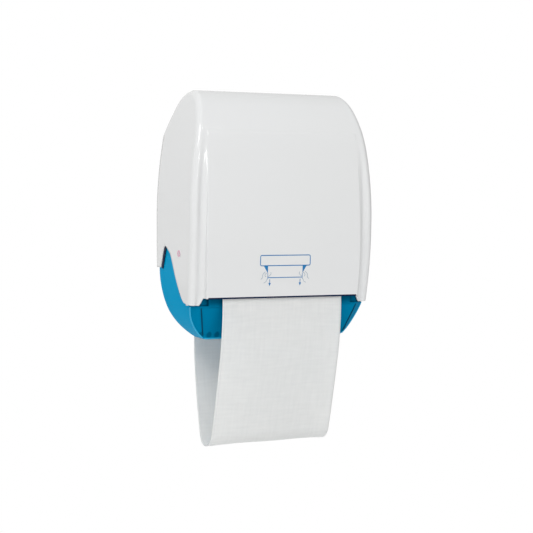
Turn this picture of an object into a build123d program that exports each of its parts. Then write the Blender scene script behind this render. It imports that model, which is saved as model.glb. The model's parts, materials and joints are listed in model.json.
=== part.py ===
from build123d import *
import os
from math import acos, atan2, cos, degrees, hypot, pi, radians, sin, sqrt

# Wall-hung roller towel dispenser. Millimetres, +Z up, front towards -Y.
# Y = 0 is the wall, X = 0 the middle, and Z = 0 the level where the cover is widest.
# A point in a side view is written (y, z), and in a front view (x, z).

# Widths, built up from the towel outwards: towel, frame cheek, gears, cover
towel_half_width = 134.0
towel_side_gap = 5.0
cheek_side_room = 12.0
cheek_thickness = 5.0
gear_room = 54.0
cheek_inner_x = towel_half_width + cheek_side_room
cheek_outer_x = cheek_inner_x + cheek_thickness
cover_half_width = cheek_outer_x + gear_room

# Cover: outside shape in side view and in front view
ridge_y, ridge_z = -94.4, 260.0
ridge_tuck = 35.6
ridge_half_width = cover_half_width - ridge_tuck
brow_y, brow_z = -161.0, 225.0
chest_y, chest_z = -190.8, 140.0
front_y, widest_z = -195.0, 20.0
hem_y, hem_z = -174.6, -177.0
hem_tuck = 3.0
rear_brow_y, rear_brow_z = -29.0, 225.0
rear_foot_z = 60.0
overrun = 25.0
cover_wall = 2.5
cover_corner_radius = 11.0
hem_taper_z = -40.0
taper_start_z = 0.0

# Raised panel on the front of the cover
panel_side_strip = 31.5
panel_half_width = cover_half_width - panel_side_strip
panel_widest_z = -53.0
panel_top_tuck, panel_bottom_tuck = 6.5, 4.0
panel_top_half_width = panel_half_width - panel_top_tuck
panel_bottom_half_width = panel_half_width - panel_bottom_tuck
panel_top_z = 175.0
panel_front_y, panel_vertex_z = -198.5, -30.0
panel_upper_radius = 1790.0
panel_lower_radius = 1000.0
panel_bottom_z = -161.0
panel_lip = 1.0
panel_bottom_drop = panel_vertex_z - panel_bottom_z
panel_bottom_y = panel_front_y + panel_lower_radius - sqrt(panel_lower_radius ** 2 - panel_bottom_drop ** 2)
mouth_flare = 9.5
edge_strip_height = 3.2

# Cut-out in each side of the cover, which shows the lower housing
tongue_width = 20.0
tongue_bottom_z = -104.6
leaf_back = (-37.0, -68.0)
leaf_front = (-55.5, -61.5)
leaf_points = [(-80.0, -80.0), (-105.0, -125.0), (-136.0, -166.0)]
leaf_end = (-157.0, -174.5)
leaf_foot = 12.0

# Hinge of the cover
hinge_y, hinge_z = -60.0, 228.0
hinge_rod_radius = 4.0
eye_radius = 9.0
ear_gap, ear_thickness = 3.5, 5.0
ear_inner_x = cheek_outer_x + ear_gap
ear_outer_x = ear_inner_x + ear_thickness
rear_edge_z = 224.0
rear_opening_gap = 2.5
rear_opening_half_width = ear_outer_x + rear_opening_gap
rear_low_z, rear_low_step = 205.0, 10.0
rear_low_half_width = rear_opening_half_width + rear_low_step
neck_slot_gap = 2.5
neck_half_height = 11.0
neck_slot_front_y = hinge_y - neck_half_height - neck_slot_gap

# Lower housing
tub_side_gap = 2.5
tub_half_width = cover_half_width - cover_wall - tub_side_gap
tub_waist_tuck, tub_waist_z = 6.0, -181.0
tub_waist_half_width = tub_half_width - tub_waist_tuck
tub_waist_back_y = -27.0
tub_rim_tuck, tub_rim_z = 44.0, -247.0
tub_rim_half_width = tub_half_width - tub_rim_tuck
tub_rim_y = -138.6
tub_shoulder_z = -105.0
tub_back_y = -4.0
tub_bottom_back_y = -97.0
tub_bottom_z = -245.0
tub_wall = 2.5
tub_ear_top_z = -50.0
tub_ear_front_y, tub_ear_back_y = -62.0, -12.0
tub_ear_foot = (-100.0, -72.0)
tub_ledge_depth = 16.6
tub_top_front_z = -88.0
tub_top_front_y, tub_top_back_y = -150.0, -112.0
seam_gap = 1.2
tub_top_z = hem_z - seam_gap
tub_ledge_y = hem_y + tub_ledge_depth
facet_inset, facet_back = 19.4, 14.6
facet_inner = (tub_waist_half_width - facet_inset, hem_y - 1.4, hem_z - 1.0)
facet_outer = (tub_waist_half_width, hem_y + facet_back, tub_waist_z)
facet_tip = (tub_rim_half_width + 0.5, tub_rim_y - 0.9, tub_rim_z)

# Upstand along the lower housing's front edge, inside the cover's open mouth
upstand_end_gap = 7.0
upstand_half_width = panel_bottom_half_width - cover_wall - upstand_end_gap
upstand_height = 16.0

# Slot in the bottom of the lower housing, where the used towel comes back in
return_half_width = towel_half_width + towel_side_gap
return_front_y, return_back_y = -60.0, -16.0
return_top_z = -150.0

# Side cheeks of the frame, and the screws in their feet
cheek_flange_width, cheek_flange_thickness = 14.0, 4.0
cheek_corner_radius = 8.0
cheek_margin = 12.0
cheek_foot_z, cheek_top_z = -98.0, 185.0
cheek_screw_x = cheek_outer_x + cheek_flange_width / 2 + 1.0
cheek_screw_z = [-80.0, 30.0, 130.0]
cheek_flange_overhang = 12.0
screw_radius, screw_head_radius, screw_head_height = 2.0, 4.2, 2.6
housing_screw_x, housing_screw_z = 120.0, -116.0

# Wall plate, and the holes for the screws into the wall
plate_side_margin = 3.0
plate_half_width = cheek_outer_x + cheek_flange_width + plate_side_margin
plate_top_z, plate_bottom_z = 200.0, -135.0
plate_thickness = 4.0
plate_corner_radius = 30.0
seat_y = -plate_thickness
wall_hole_radius = 3.0
wall_hole_half_x = 110.0
wall_hole_half_z = 75.0
rib_height, rib_width, rib_spacing, rib_bottom_z = 6.0, 3.0, 60.0, -60.0

# Towel and rolls
towel_thickness = 1.2
roll_gap = 0.3
clean_roll_y, clean_roll_z, clean_roll_radius = -92.0, 140.0, 56.0
core_radius, core_wall = 20.0, 2.5
hub_flange_radius, hub_flange_thickness, hub_depth = 30.0, 3.0, 14.0
hub_overhang = 3.0
stub_radius = 6.0
stub_slot_length = 38.0
running_gap = 0.05
fixed_gap = 0.02

# Transport roller, pinch roller and take-up spindle
drive_y, drive_z, drive_radius = -153.0, -118.0, 31.0
drive_sleeve = 1.5
drive_shaft_radius = 6.0
drum_overhang = 2.0
shaft_overhang = 4.0
pinch_radius, pinch_shaft_radius = 10.0, 4.0
nip_angle = 50.0
pinch_arm_length = 32.0
pinch_arm_thickness, pinch_arm_gap, pinch_arm_width = 4.0, 1.0, 12.0
pinch_arm_pivot_radius, pinch_arm_end_radius = 9.0, 7.5
rocker_wall = 3.0
spring_wire, spring_turns, spring_pitch = 0.8, 4, 2.2
spring_inset = 16.5
takeup_y, takeup_z, takeup_radius = -68.0, -35.0, 34.0
spindle_radius = 12.0
bush_radius, bush_flange_radius, bush_flange = 9.0, 11.5, 1.5

# Gear train on the right-hand side
gear_module = 2.0
drive_teeth, idler_teeth, takeup_teeth = 32, 30, 35
gear_width = 9.0
gear_gap_x = 3.5
gear_inner_x = cheek_outer_x + gear_gap_x
gear_rim, gear_boss, gear_recess, gear_holes = 4.0, 5.0, 1.5, 5
pressure_angle = 20.0
tooth_backlash = 0.25
idler_pin_radius, idler_pin_head, idler_pin_head_height = 5.0, 3.0, 1.6

# Hanging loop of towel
loop_out_z = -166.0
loop_knee_y, loop_knee_z = -168.0, -300.0
loop_heel_y, loop_heel_z = -128.0, -443.0
loop_bottom_y, loop_bottom_z = -92.5, -470.0
loop_toe_y, loop_toe_z = -66.5, -451.0
loop_rise_z, loop_rise_lean = -312.0, 2.8
loop_in_z = -263.0

# Cam lock on the left-hand side
lock_y, lock_z = -127.6, -73.6
lock_radius, lock_plug_radius = 6.0, 3.0
lock_collar, lock_collar_height = 1.6, 0.6
lock_ring_radius, lock_ring_width, lock_ring_height = 6.4, 1.6, 0.8
lock_depth = 14.0
lock_nut_radius, lock_nut_thickness = 9.0, 3.0
cam_length, cam_width, cam_thickness = 20.0, 9.0, 1.6
key_slot_width, key_slot_height, key_slot_depth = 0.9, 4.0, 2.5
catch_gap, catch_drop = 1.5, 2.0
catch_lug_thickness, catch_lug_height = 3.0, 14.0
catch_foot_length, catch_foot_height, catch_foot_thickness = 21.0, 20.0, 2.0

# Guide bar behind the returning towel
guide_radius, guide_z = 5.0, -140.0
guide_y = takeup_y + takeup_radius + roll_gap + towel_thickness + roll_gap + guide_radius


def point(y, z):
    """A point of a side view, in the YZ plane."""
    return (0.0, y, z)


def heading(y, z):
    """A direction of a side view."""
    return (0.0, y, z)


def tangent_chain(start, direction, ends):
    """Arcs one after another, each tangent to the last. Points and direction are 3-D."""
    arcs = []
    for end in ends:
        arc = TangentArc(start, end, tangent=direction)
        arcs.append(arc)
        start = end
        direction = tuple(arc % 1)
    return arcs


def slab(face, half_length):
    """Extrude a face of the YZ plane along X, as far each way."""
    return extrude(face, amount=half_length, dir=(1, 0, 0), both=True)


def side_plate(face, inner_x, thickness, side):
    """A plate cut from a YZ outline, standing from inner_x outwards on one side."""
    plate = extrude(face, amount=thickness, dir=(1, 0, 0))
    start = inner_x if side > 0 else -inner_x - thickness
    return Pos(start, 0, 0) * plate


def rod(y, z, radius, x_from, x_to):
    """A round bar along X."""
    bar = Cylinder(radius, x_to - x_from, rotation=(0, 90, 0))
    return Pos((x_from + x_to) / 2, y, z) * bar


def tube(y, z, outer, inner, x_from, x_to):
    """A hollow round bar along X."""
    return rod(y, z, outer, x_from, x_to) - rod(y, z, inner, x_from - 1, x_to + 1)


def block(low, high):
    """A box between two corners."""
    size = [b - a for a, b in zip(low, high)]
    centre = [(a + b) / 2 for a, b in zip(low, high)]
    return Pos(*centre) * Box(*size)


def polygon_face(points):
    """A face of the YZ plane from its corner points (y, z)."""
    corners = [point(*p) for p in points]
    return make_face(Polyline(*corners, close=True))


def rounded_face(points, radius):
    """A face of the YZ plane with rounded corners."""
    face = polygon_face(points)
    return fillet(face.vertices(), radius)


def arc_sag(offset_at, reach_at, reach):
    """Sag at another reach of the arc that leaves a line tangentially and sags offset_at at reach_at."""
    radius = (offset_at ** 2 + reach_at ** 2) / (2 * offset_at)
    return radius - sqrt(radius ** 2 - reach ** 2)


def arc_sag_of(radius, reach):
    """Sag of an arc of known radius at a reach from its vertex."""
    return radius - sqrt(radius ** 2 - reach ** 2)


def cover_side_face():
    """Side view of the cover: a ridge, a brow and a long bowed front. It runs past the wall and hem."""
    ridge = point(ridge_y, ridge_z)
    low_z = hem_z - overrun
    low_y = front_y + arc_sag(hem_y - front_y, hem_z - widest_z, low_z - widest_z)
    front_points = [
        point(brow_y, brow_z),
        point(chest_y, chest_z),
        point(front_y, widest_z),
        point(low_y, low_z),
    ]
    front = tangent_chain(ridge, heading(-1, 0), front_points)
    back_points = [point(rear_brow_y, rear_brow_z), point(overrun, rear_foot_z)]
    back = tangent_chain(ridge, heading(1, 0), back_points)
    closing = Polyline(point(low_y, low_z), point(overrun, low_z), back_points[-1])
    return make_face(front + back + [closing])


def cover_half_at(z):
    """Half-width of the cover at a height: an arc above and an arc below the straight middle."""
    if z > taper_start_z:
        return cover_half_width - arc_sag(ridge_tuck, ridge_z - taper_start_z, z - taper_start_z)
    if z < hem_taper_z:
        return cover_half_width - arc_sag(hem_tuck, hem_z - hem_taper_z, z - hem_taper_z)
    return cover_half_width


def cover_front_face():
    """Front view of the cover: straight in the middle, drawn in to the ridge and a little to the hem."""
    top_z = ridge_z + overrun
    low_z = hem_z - overrun
    top_x = cover_half_at(top_z)
    low_x = cover_half_at(low_z)
    lines = [Line((-top_x, 0, top_z), (top_x, 0, top_z)), Line((-low_x, 0, low_z), (low_x, 0, low_z))]
    for side in (-1, 1):
        upper = (side * cover_half_width, 0, taper_start_z)
        lower = (side * cover_half_width, 0, hem_taper_z)
        lines.append(Line(upper, lower))
        lines.append(TangentArc(upper, (side * top_x, 0, top_z), tangent=(0, 0, 1)))
        lines.append(TangentArc(lower, (side * low_x, 0, low_z), tangent=(0, 0, -1)))
    return make_face(lines)


def inset(face, amount):
    """The same face drawn in by an amount."""
    if amount == 0:
        return face
    return offset(face, amount=-amount, kind=Kind.INTERSECTION)


def cover_form(depth):
    """The cover's outside shape, drawn in by depth. A drawn-in one runs on past the wall and hem."""
    side = slab(inset(cover_side_face(), depth), cover_half_width + overrun)
    front = extrude(inset(cover_front_face(), depth), amount=-2 * front_y, dir=(0, 1, 0), both=True)
    past = 1.5 * depth
    far_x = cover_half_width + overrun
    room = block((-far_x, front_y - overrun, hem_z - past), (far_x, past, ridge_z + overrun))
    form = side & front & room
    corner_edges = []
    for edge in form.edges():
        middle = edge @ 0.5
        at_wall = middle.Y > past - 0.01
        at_hem = middle.Z < hem_z - past + 0.01
        if abs(middle.X) > ridge_half_width - cover_corner_radius and not at_wall and not at_hem:
            corner_edges.append(edge)
    return fillet(corner_edges, cover_corner_radius - depth)


def panel_form(depth):
    """The raised front panel, drawn in by depth, as a solid that reaches back into the cover."""
    back_y = hem_y + overrun
    top_y = panel_front_y + arc_sag_of(panel_upper_radius, panel_top_z - panel_vertex_z)
    low_y = panel_bottom_y
    upper = TangentArc(
        point(panel_front_y, panel_vertex_z), point(top_y, panel_top_z), tangent=heading(0, 1)
    )
    lower = TangentArc(
        point(panel_front_y, panel_vertex_z), point(low_y, panel_bottom_z), tangent=heading(0, -1)
    )
    lip_z = hem_z + panel_lip
    closing = Polyline(
        point(low_y, panel_bottom_z), point(hem_y, lip_z), point(back_y, lip_z),
        point(back_y, panel_top_z), point(top_y, panel_top_z),
    )
    side = slab(inset(make_face([upper, lower, closing]), depth), cover_half_width)
    lines = []
    for sign in (-1, 1):
        widest = (sign * panel_half_width, 0, panel_widest_z)
        lines.append(TangentArc(widest, (sign * panel_top_half_width, 0, panel_top_z), tangent=(0, 0, 1)))
        lines.append(TangentArc(widest, (sign * panel_bottom_half_width, 0, hem_z), tangent=(0, 0, -1)))
    lines.append(Line((-panel_top_half_width, 0, panel_top_z), (panel_top_half_width, 0, panel_top_z)))
    lines.append(Line((-panel_bottom_half_width, 0, hem_z), (panel_bottom_half_width, 0, hem_z)))
    front = extrude(inset(make_face(lines), depth), amount=-2 * front_y, dir=(0, 1, 0), both=True)
    return side & front


def below_cover():
    """What the cover leaves out behind and below its bottom edge."""
    rise_y, rise_z = leaf_back[0] + tongue_width, leaf_back[1] - tongue_bottom_z
    crown = TangentArc(point(*leaf_back), point(*leaf_front), tangent=heading(rise_y, rise_z))
    end = point(*leaf_end)
    curve = Spline(
        point(*leaf_front), *[point(*p) for p in leaf_points], end, tangents=[crown % 1, heading(-1, -0.3)]
    )
    far_z = hem_z - overrun
    foot_y = leaf_end[0] - leaf_foot
    before = Polyline(
        point(overrun, far_z), point(overrun, tongue_bottom_z), point(-tongue_width, tongue_bottom_z),
        point(*leaf_back),
    )
    after = Polyline(end, point(foot_y, hem_z), point(foot_y, far_z), point(overrun, far_z))
    return slab(make_face([before, crown, curve, after]), cover_half_width + overrun)


def cover_mouth():
    """The open space under and behind the raised panel's bottom edge, flared from there to the hem."""
    half = panel_bottom_half_width - cover_wall
    back_y = hem_y + tub_ledge_depth
    corners = [
        (half, panel_front_y, panel_bottom_z), (half + mouth_flare, panel_front_y, hem_z),
        (half + mouth_flare, panel_front_y, hem_z - overrun),
    ]
    corners += [(-x, y, z) for x, y, z in reversed(corners)]
    below = extrude(make_face(Polyline(*corners, close=True)), amount=back_y - panel_front_y, dir=(0, 1, 0))
    behind = block(
        (-half, panel_bottom_y + cover_wall, panel_bottom_z - 1.0), (half, back_y, panel_bottom_z + 2 * cover_wall)
    )
    return below + behind


def make_edge_strip():
    """Dark strip under the bottom edge of the raised panel, as thick as the wall it closes."""
    half = panel_bottom_half_width - cover_wall
    return block(
        (-half, panel_bottom_y, panel_bottom_z - edge_strip_height), (half, panel_bottom_y + cover_wall, panel_bottom_z)
    )


def make_cover():
    """The cover: a moulded shell with a raised panel, an open mouth below it and two hinge eyes."""
    shell = (cover_form(0) + panel_form(0)) - cover_form(cover_wall) - panel_form(cover_wall)
    shell -= below_cover()
    for half_width, top_z in ((rear_opening_half_width, rear_edge_z), (rear_low_half_width, rear_low_z)):
        shell -= block((-half_width, hinge_y, hem_z), (half_width, overrun, top_z))
    shell -= cover_mouth()
    inside = cover_form(cover_wall / 2)
    web = polygon_face([
        (hinge_y - eye_radius, hinge_z), (hinge_y + eye_radius, hinge_z),
        (hinge_y + eye_radius, ridge_z), (hinge_y - 2 * eye_radius, ridge_z),
    ])
    for side in (-1, 1):
        low, high = sorted((side * (cheek_inner_x - neck_slot_gap), side * (cheek_outer_x + neck_slot_gap)))
        shell -= block((low, neck_slot_front_y, rear_edge_z - overrun), (high, overrun, ridge_z))
        low, high = sorted((side * ear_inner_x, side * ear_outer_x))
        ear = side_plate(web, ear_inner_x, ear_thickness, side) & inside
        ear += rod(hinge_y, hinge_z, eye_radius, low, high)
        ear -= rod(hinge_y, hinge_z, hinge_rod_radius + running_gap, low - 1, high + 1)
        shell += ear
    shell -= rod(lock_y, lock_z, lock_radius + running_gap, -cover_half_width - 5, -cover_half_width + lock_depth)
    return shell


def tub_side_face():
    """Side view of the lower housing before its top edge is cut: sloping face, flat rim, round back."""
    shoulder = point(tub_back_y, tub_shoulder_z)
    bottom = point(tub_bottom_back_y, tub_bottom_z)
    back = tangent_chain(shoulder, heading(0, -1), [point(tub_waist_back_y, tub_waist_z), bottom])
    rest = Polyline(
        bottom, point(tub_rim_y, tub_rim_z), point(hem_y, tub_top_z), point(tub_ledge_y, tub_top_z),
        point(tub_top_front_y, tub_top_front_z), point(tub_top_front_y, tub_ear_top_z),
        point(tub_back_y, tub_ear_top_z), shoulder,
    )
    return make_face(back + [rest])


def above_tub():
    """What is cut off the housing's top: in front of and behind the ear on each side."""
    before = polygon_face([
        (tub_top_front_y, tub_top_front_z), (tub_top_back_y, tub_top_front_z + 2.0), tub_ear_foot,
        (tub_ear_front_y, tub_ear_top_z), (tub_ear_front_y, taper_start_z),
        (hem_y - overrun, taper_start_z), (hem_y - overrun, tub_top_front_z),
    ])
    behind = polygon_face([
        (tub_ear_back_y, tub_ear_top_z + 1.0), (tub_ear_back_y, tub_shoulder_z), (overrun, tub_shoulder_z),
        (overrun, tub_ear_top_z + 1.0),
    ])
    return slab(before, tub_half_width + overrun) + slab(behind, tub_half_width + overrun)


def tub_front_face():
    """Front view of the lower housing: straight sides that curve in to the narrow rim."""
    lines = []
    top_z = taper_start_z
    low_z = tub_rim_z - overrun
    for side in (-1, 1):
        shoulder = (side * tub_half_width, 0, tub_shoulder_z)
        waist = (side * tub_waist_half_width, 0, tub_waist_z)
        rim = (side * tub_rim_half_width, 0, tub_rim_z)
        lines += tangent_chain(shoulder, (0, 0, -1), [waist, rim])
        lines.append(Line(shoulder, (side * tub_half_width, 0, top_z)))
        lines.append(Line(rim, (side * tub_rim_half_width, 0, low_z)))
    lines.append(Line((-tub_half_width, 0, top_z), (tub_half_width, 0, top_z)))
    lines.append(Line((-tub_rim_half_width, 0, low_z), (tub_rim_half_width, 0, low_z)))
    return make_face(lines)


def facet_keep(side, depth):
    """The half-space behind the slanted facet at a front corner of the lower housing, as a big box."""
    a, b, c = [Vector(side * p[0], p[1], p[2]) for p in (facet_inner, facet_outer, facet_tip)]
    normal = (b - a).cross(c - a).normalized()
    if normal.Y > 0:
        normal = -normal
    plane = Plane(origin=a - normal * depth, z_dir=normal)
    reach = 2 * tub_half_width
    return plane * Pos(0, 0, reach / 2) * Box(2 * reach, 2 * reach, reach)


def tub_form(depth):
    """The lower housing's outside shape, drawn in by depth."""
    side = slab(inset(tub_side_face(), depth), tub_half_width + overrun)
    front = extrude(inset(tub_front_face(), depth), amount=-2 * front_y, dir=(0, 1, 0), both=True)
    form = side & front
    for sign in (-1, 1):
        form -= facet_keep(sign, depth)
    return form


def make_lower_housing():
    """The lower housing: an open tub with an upstand along its front and a slot for the used towel."""
    shell = tub_form(0) - tub_form(tub_wall) - above_tub()
    top_opening = polygon_face([
        (tub_ledge_y - 1.0, tub_top_z), (tub_ledge_y - 1.0, 0), (overrun, 0),
        (overrun, tub_shoulder_z - 2), (tub_back_y - tub_wall, tub_shoulder_z - 2),
        (tub_back_y - cheek_margin, tub_shoulder_z - 9),
    ])
    shell -= slab(top_opening, tub_half_width - tub_wall)
    shell += block(
        (-upstand_half_width, hem_y, tub_top_z - tub_wall),
        (upstand_half_width, hem_y + tub_wall, tub_top_z + upstand_height),
    )
    shell -= block(
        (-return_half_width, return_front_y, tub_rim_z), (return_half_width, return_back_y, return_top_z)
    )
    for x in (-housing_screw_x, housing_screw_x):
        shell -= Pos(x, 0, housing_screw_z) * Cylinder(screw_radius + running_gap, 60, rotation=(90, 0, 0))
    return shell


def make_back_plate():
    """The wall plate, with holes for the wall screws and for the screws of the frame, and three ribs."""
    outline = FilletPolyline(
        (-plate_half_width, 0, plate_bottom_z), (plate_half_width, 0, plate_bottom_z),
        (plate_half_width, 0, plate_top_z), (-plate_half_width, 0, plate_top_z),
        radius=plate_corner_radius, close=True,
    )
    plate = extrude(make_face(outline), amount=plate_thickness, dir=(0, -1, 0))
    for x in (-wall_hole_half_x, wall_hole_half_x):
        for z in (-wall_hole_half_z, wall_hole_half_z):
            plate -= Pos(x, 0, z) * Cylinder(wall_hole_radius, 30, rotation=(90, 0, 0))
    for x in (-rib_spacing, 0.0, rib_spacing):
        plate += block(
            (x - rib_width / 2, seat_y - rib_height, rib_bottom_z),
            (x + rib_width / 2, seat_y, plate_top_z - plate_corner_radius),
        )
    for side in (-1, 1):
        for z in cheek_screw_z:
            plate -= Pos(side * cheek_screw_x, 0, z) * Cylinder(screw_radius, 30, rotation=(90, 0, 0))
        plate -= Pos(side * housing_screw_x, 0, housing_screw_z) * Cylinder(screw_radius, 30, rotation=(90, 0, 0))
    return plate


def pinch_places():
    """Centres of the pinch roller and of the pivot of its arms, from the nip's angle."""
    reach = drive_radius + pinch_radius + towel_thickness + 2 * roll_gap
    along = radians(nip_angle)
    roller = (drive_y + reach * cos(along), drive_z + reach * sin(along))
    pivot = (roller[0] - pinch_arm_length * sin(along), roller[1] + pinch_arm_length * cos(along))
    return roller, pivot


def idler_place():
    """Centre of the idler gear, in mesh with the drive gear and the take-up gear."""
    first = gear_module * (drive_teeth + idler_teeth) / 2
    second = gear_module * (takeup_teeth + idler_teeth) / 2
    dy, dz = takeup_y - drive_y, takeup_z - drive_z
    span = hypot(dy, dz)
    along = (first ** 2 - second ** 2 + span ** 2) / (2 * span)
    off = sqrt(first ** 2 - along ** 2)
    return (drive_y + (along * dy + off * dz) / span, drive_z + (along * dz - off * dy) / span)


pinch_place, pinch_pivot = pinch_places()
idler_y, idler_z = idler_place()


def make_cheek(side):
    """One side plate of the frame, with its foot on the wall plate and its seats for every shaft."""
    neck_y = hinge_y - neck_half_height
    reel_y = clean_roll_y - 2 * cheek_margin
    drive_front_y = drive_y - 23.0
    outline = rounded_face([
        (seat_y, cheek_foot_z), (seat_y, cheek_top_z), (hinge_y + 9.0, hinge_z + neck_half_height),
        (neck_y, hinge_z + neck_half_height), (neck_y, cheek_top_z + 1.0),
        (reel_y, clean_roll_z + 2 * cheek_margin), (reel_y, clean_roll_z - 32.0),
        (takeup_y - 36.0, takeup_z + 25.0), (pinch_pivot[0] - 10.0, pinch_pivot[1] + 23.0),
        (drive_front_y, drive_z + 34.0), (drive_front_y, drive_z - 16.0), (drive_y - 7.0, drive_z - 34.0),
        (guide_y - cheek_margin, guide_z - cheek_margin), (guide_y + 3.2, guide_z + cheek_margin),
    ], cheek_corner_radius)
    cheek = side_plate(outline, cheek_inner_x, cheek_thickness, side)
    low, high = sorted((side * (cheek_inner_x - 1), side * (cheek_outer_x + 1)))
    window_low_z = takeup_z + takeup_radius + 23.0
    window = rounded_face([
        (-20.0, window_low_z), (-20.0, clean_roll_z - 44.0), (-86.0, window_low_z + 38.0), (-82.0, window_low_z),
    ], cheek_corner_radius)
    cheek -= side_plate(window, cheek_inner_x - 1, cheek_thickness + 2, side)
    flange = block(
        (0, seat_y - cheek_flange_thickness, cheek_screw_z[0] - 10.0),
        (cheek_flange_width + 1.0, seat_y, cheek_screw_z[-1] + cheek_flange_overhang),
    )
    start = cheek_outer_x - 1.0 if side > 0 else -cheek_outer_x - cheek_flange_width
    cheek += Pos(start, 0, 0) * flange
    for z in cheek_screw_z:
        hole = Cylinder(screw_radius + running_gap, 30, rotation=(90, 0, 0))
        cheek -= Pos(side * cheek_screw_x, seat_y, z) * hole
    cheek -= rod(hinge_y, hinge_z, hinge_rod_radius + running_gap, low, high)
    cheek -= rod(drive_y, drive_z, bush_radius, low, high)
    cheek -= rod(takeup_y, takeup_z, bush_radius, low, high)
    cheek -= rod(pinch_pivot[0], pinch_pivot[1], pinch_shaft_radius + fixed_gap, low, high)
    cheek -= rod(guide_y, guide_z, guide_radius + fixed_gap, low, high)
    cheek -= rod(clean_roll_y, clean_roll_z, stub_radius + running_gap, low, high)
    slot_low = (low, clean_roll_y - stub_slot_length, clean_roll_z - stub_radius - running_gap)
    slot_high = (high, clean_roll_y, clean_roll_z + stub_radius + running_gap)
    cheek -= block(slot_low, slot_high)
    if side > 0:
        cheek -= rod(idler_y, idler_z, idler_pin_radius, low, high)
    return cheek


def gear_profile(teeth, width):
    """A spur gear about the X axis: involute flanks, with each tooth thinned for backlash."""
    pitch_r = gear_module * teeth / 2
    base_r = pitch_r * cos(radians(pressure_angle))
    tip_r = pitch_r + gear_module
    root_r = pitch_r - 1.25 * gear_module

    def flank_angle(radius):
        roll = acos(min(1.0, base_r / radius))
        return sin(roll) / cos(roll) - roll

    half_tooth = pi / (2 * teeth) - tooth_backlash / (2 * pitch_r)
    start_r = max(root_r, base_r)
    radii = [start_r + (tip_r - start_r) * step / 3 for step in range(4)]
    lean = half_tooth + flank_angle(pitch_r)
    rising = [(radius, -(lean - flank_angle(radius))) for radius in radii]
    tooth = [(root_r - 0.5, -lean)] + rising + [(r, -a) for r, a in reversed(rising)] + [(root_r - 0.5, lean)]
    corners = [(r * cos(a), r * sin(a)) for r, a in tooth]
    blank = Circle(root_r)
    one = make_face(Polyline(*corners, close=True))
    for number in range(teeth):
        blank += Rot(0, 0, 360.0 * number / teeth) * one
    return extrude(blank, amount=width)


def spur_gear(teeth, y, z, turn, bore):
    """A gear in place on the right-hand side. Turn is in degrees about X."""
    solid = gear_profile(teeth, gear_width)
    web_radius = gear_module * (teeth / 2 - 1) - gear_rim
    boss_radius = bore + gear_boss
    recess = Cylinder(web_radius, 2 * gear_recess) - Cylinder(boss_radius, 2 * gear_recess)
    solid -= Pos(0, 0, gear_width) * recess
    for number in range(gear_holes):
        hole_at = Rot(0, 0, 360.0 * number / gear_holes) * Pos((web_radius + boss_radius) / 2, 0, 0)
        solid -= hole_at * Cylinder((web_radius - boss_radius) / 3.2, 4 * gear_width)
    solid -= Cylinder(bore, 4 * gear_width)
    on_x = Rot(0, 90, 0) * Rot(0, 0, turn) * solid
    return Pos(gear_inner_x, y, z) * on_x


def mesh_turn(from_place, to_place, from_teeth, to_teeth, from_turn):
    """Turn of a gear so that its teeth fall in the gaps of the one that it meets."""
    angle = degrees(atan2(to_place[0] - from_place[0], -(to_place[1] - from_place[1])))
    return angle + 180.0 - (angle - from_turn) * -1 * from_teeth / to_teeth + 180.0 / to_teeth


def internal_tangent(centre_a, radius_a, side_a, centre_b, radius_b):
    """Tangent points of the line that crosses between two circles, leaving A on side_a."""
    dy, dz = centre_b[0] - centre_a[0], centre_b[1] - centre_a[1]
    span = hypot(dy, dz)
    base = atan2(dz, dy)
    swing = acos((radius_a + radius_b) / span) * side_a
    on_a = (centre_a[0] + radius_a * cos(base + swing), centre_a[1] + radius_a * sin(base + swing))
    on_b = (centre_b[0] - radius_b * cos(base + swing), centre_b[1] - radius_b * sin(base + swing))
    return on_a, on_b


def on_circle(centre, radius, angle):
    """A point of a circle in side view. Angle in degrees from +Y towards +Z."""
    return (centre[0] + radius * cos(radians(angle)), centre[1] + radius * sin(radians(angle)))


def band(edges):
    """A towel of real thickness along a line of edges in side view."""
    half = towel_thickness / 2
    pieces = []
    for edge in edges:
        start, end = edge @ 0, edge @ 1
        first = Plane(origin=start, z_dir=edge % 0, x_dir=(1, 0, 0))
        section = first * Rectangle(2 * towel_half_width, 2 * half)
        pieces.append(sweep(section, path=edge))
    web = pieces[0]
    for piece in pieces[1:]:
        web += piece
    return web


def make_towel_feed():
    """Towel from the clean roll to the nip, passing behind and under the pinch roller."""
    leave = clean_roll_radius + roll_gap + towel_thickness / 2
    wrap = pinch_radius + roll_gap + towel_thickness / 2
    on_roll, on_pinch = internal_tangent((clean_roll_y, clean_roll_z), leave, -1, pinch_place, wrap)
    start_angle = degrees(atan2(on_pinch[1] - pinch_place[1], on_pinch[0] - pinch_place[0]))
    nip = on_circle(pinch_place, wrap, nip_angle - 180.0)
    middle = on_circle(pinch_place, wrap, (start_angle + nip_angle - 180.0) / 2)
    return band([Line(point(*on_roll), point(*on_pinch)), ThreePointArc(point(*on_pinch), point(*middle), point(*nip))])


def make_towel_loop():
    """Towel from the nip over the transport roller, down in a loop and up to the take-up roll."""
    wrap = drive_radius + roll_gap + towel_thickness / 2
    centre = (drive_y, drive_z)
    nip = on_circle(centre, wrap, nip_angle)
    middle = on_circle(centre, wrap, (nip_angle + 180.0) / 2)
    front = on_circle(centre, wrap, 180.0)
    edges = [ThreePointArc(point(*nip), point(*middle), point(*front))]
    edges.append(Line(point(*front), point(front[0], loop_out_z)))
    back_y = takeup_y + takeup_radius + roll_gap + towel_thickness / 2
    ends = [
        point(loop_knee_y, loop_knee_z), point(loop_heel_y, loop_heel_z), point(loop_bottom_y, loop_bottom_z),
        point(loop_toe_y, loop_toe_z), point(back_y - loop_rise_lean, loop_rise_z), point(back_y, loop_in_z),
    ]
    edges += tangent_chain(point(front[0], loop_out_z), heading(0, -1), ends)
    edges.append(Line(point(back_y, loop_in_z), point(back_y, takeup_z)))
    return band(edges)


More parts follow.
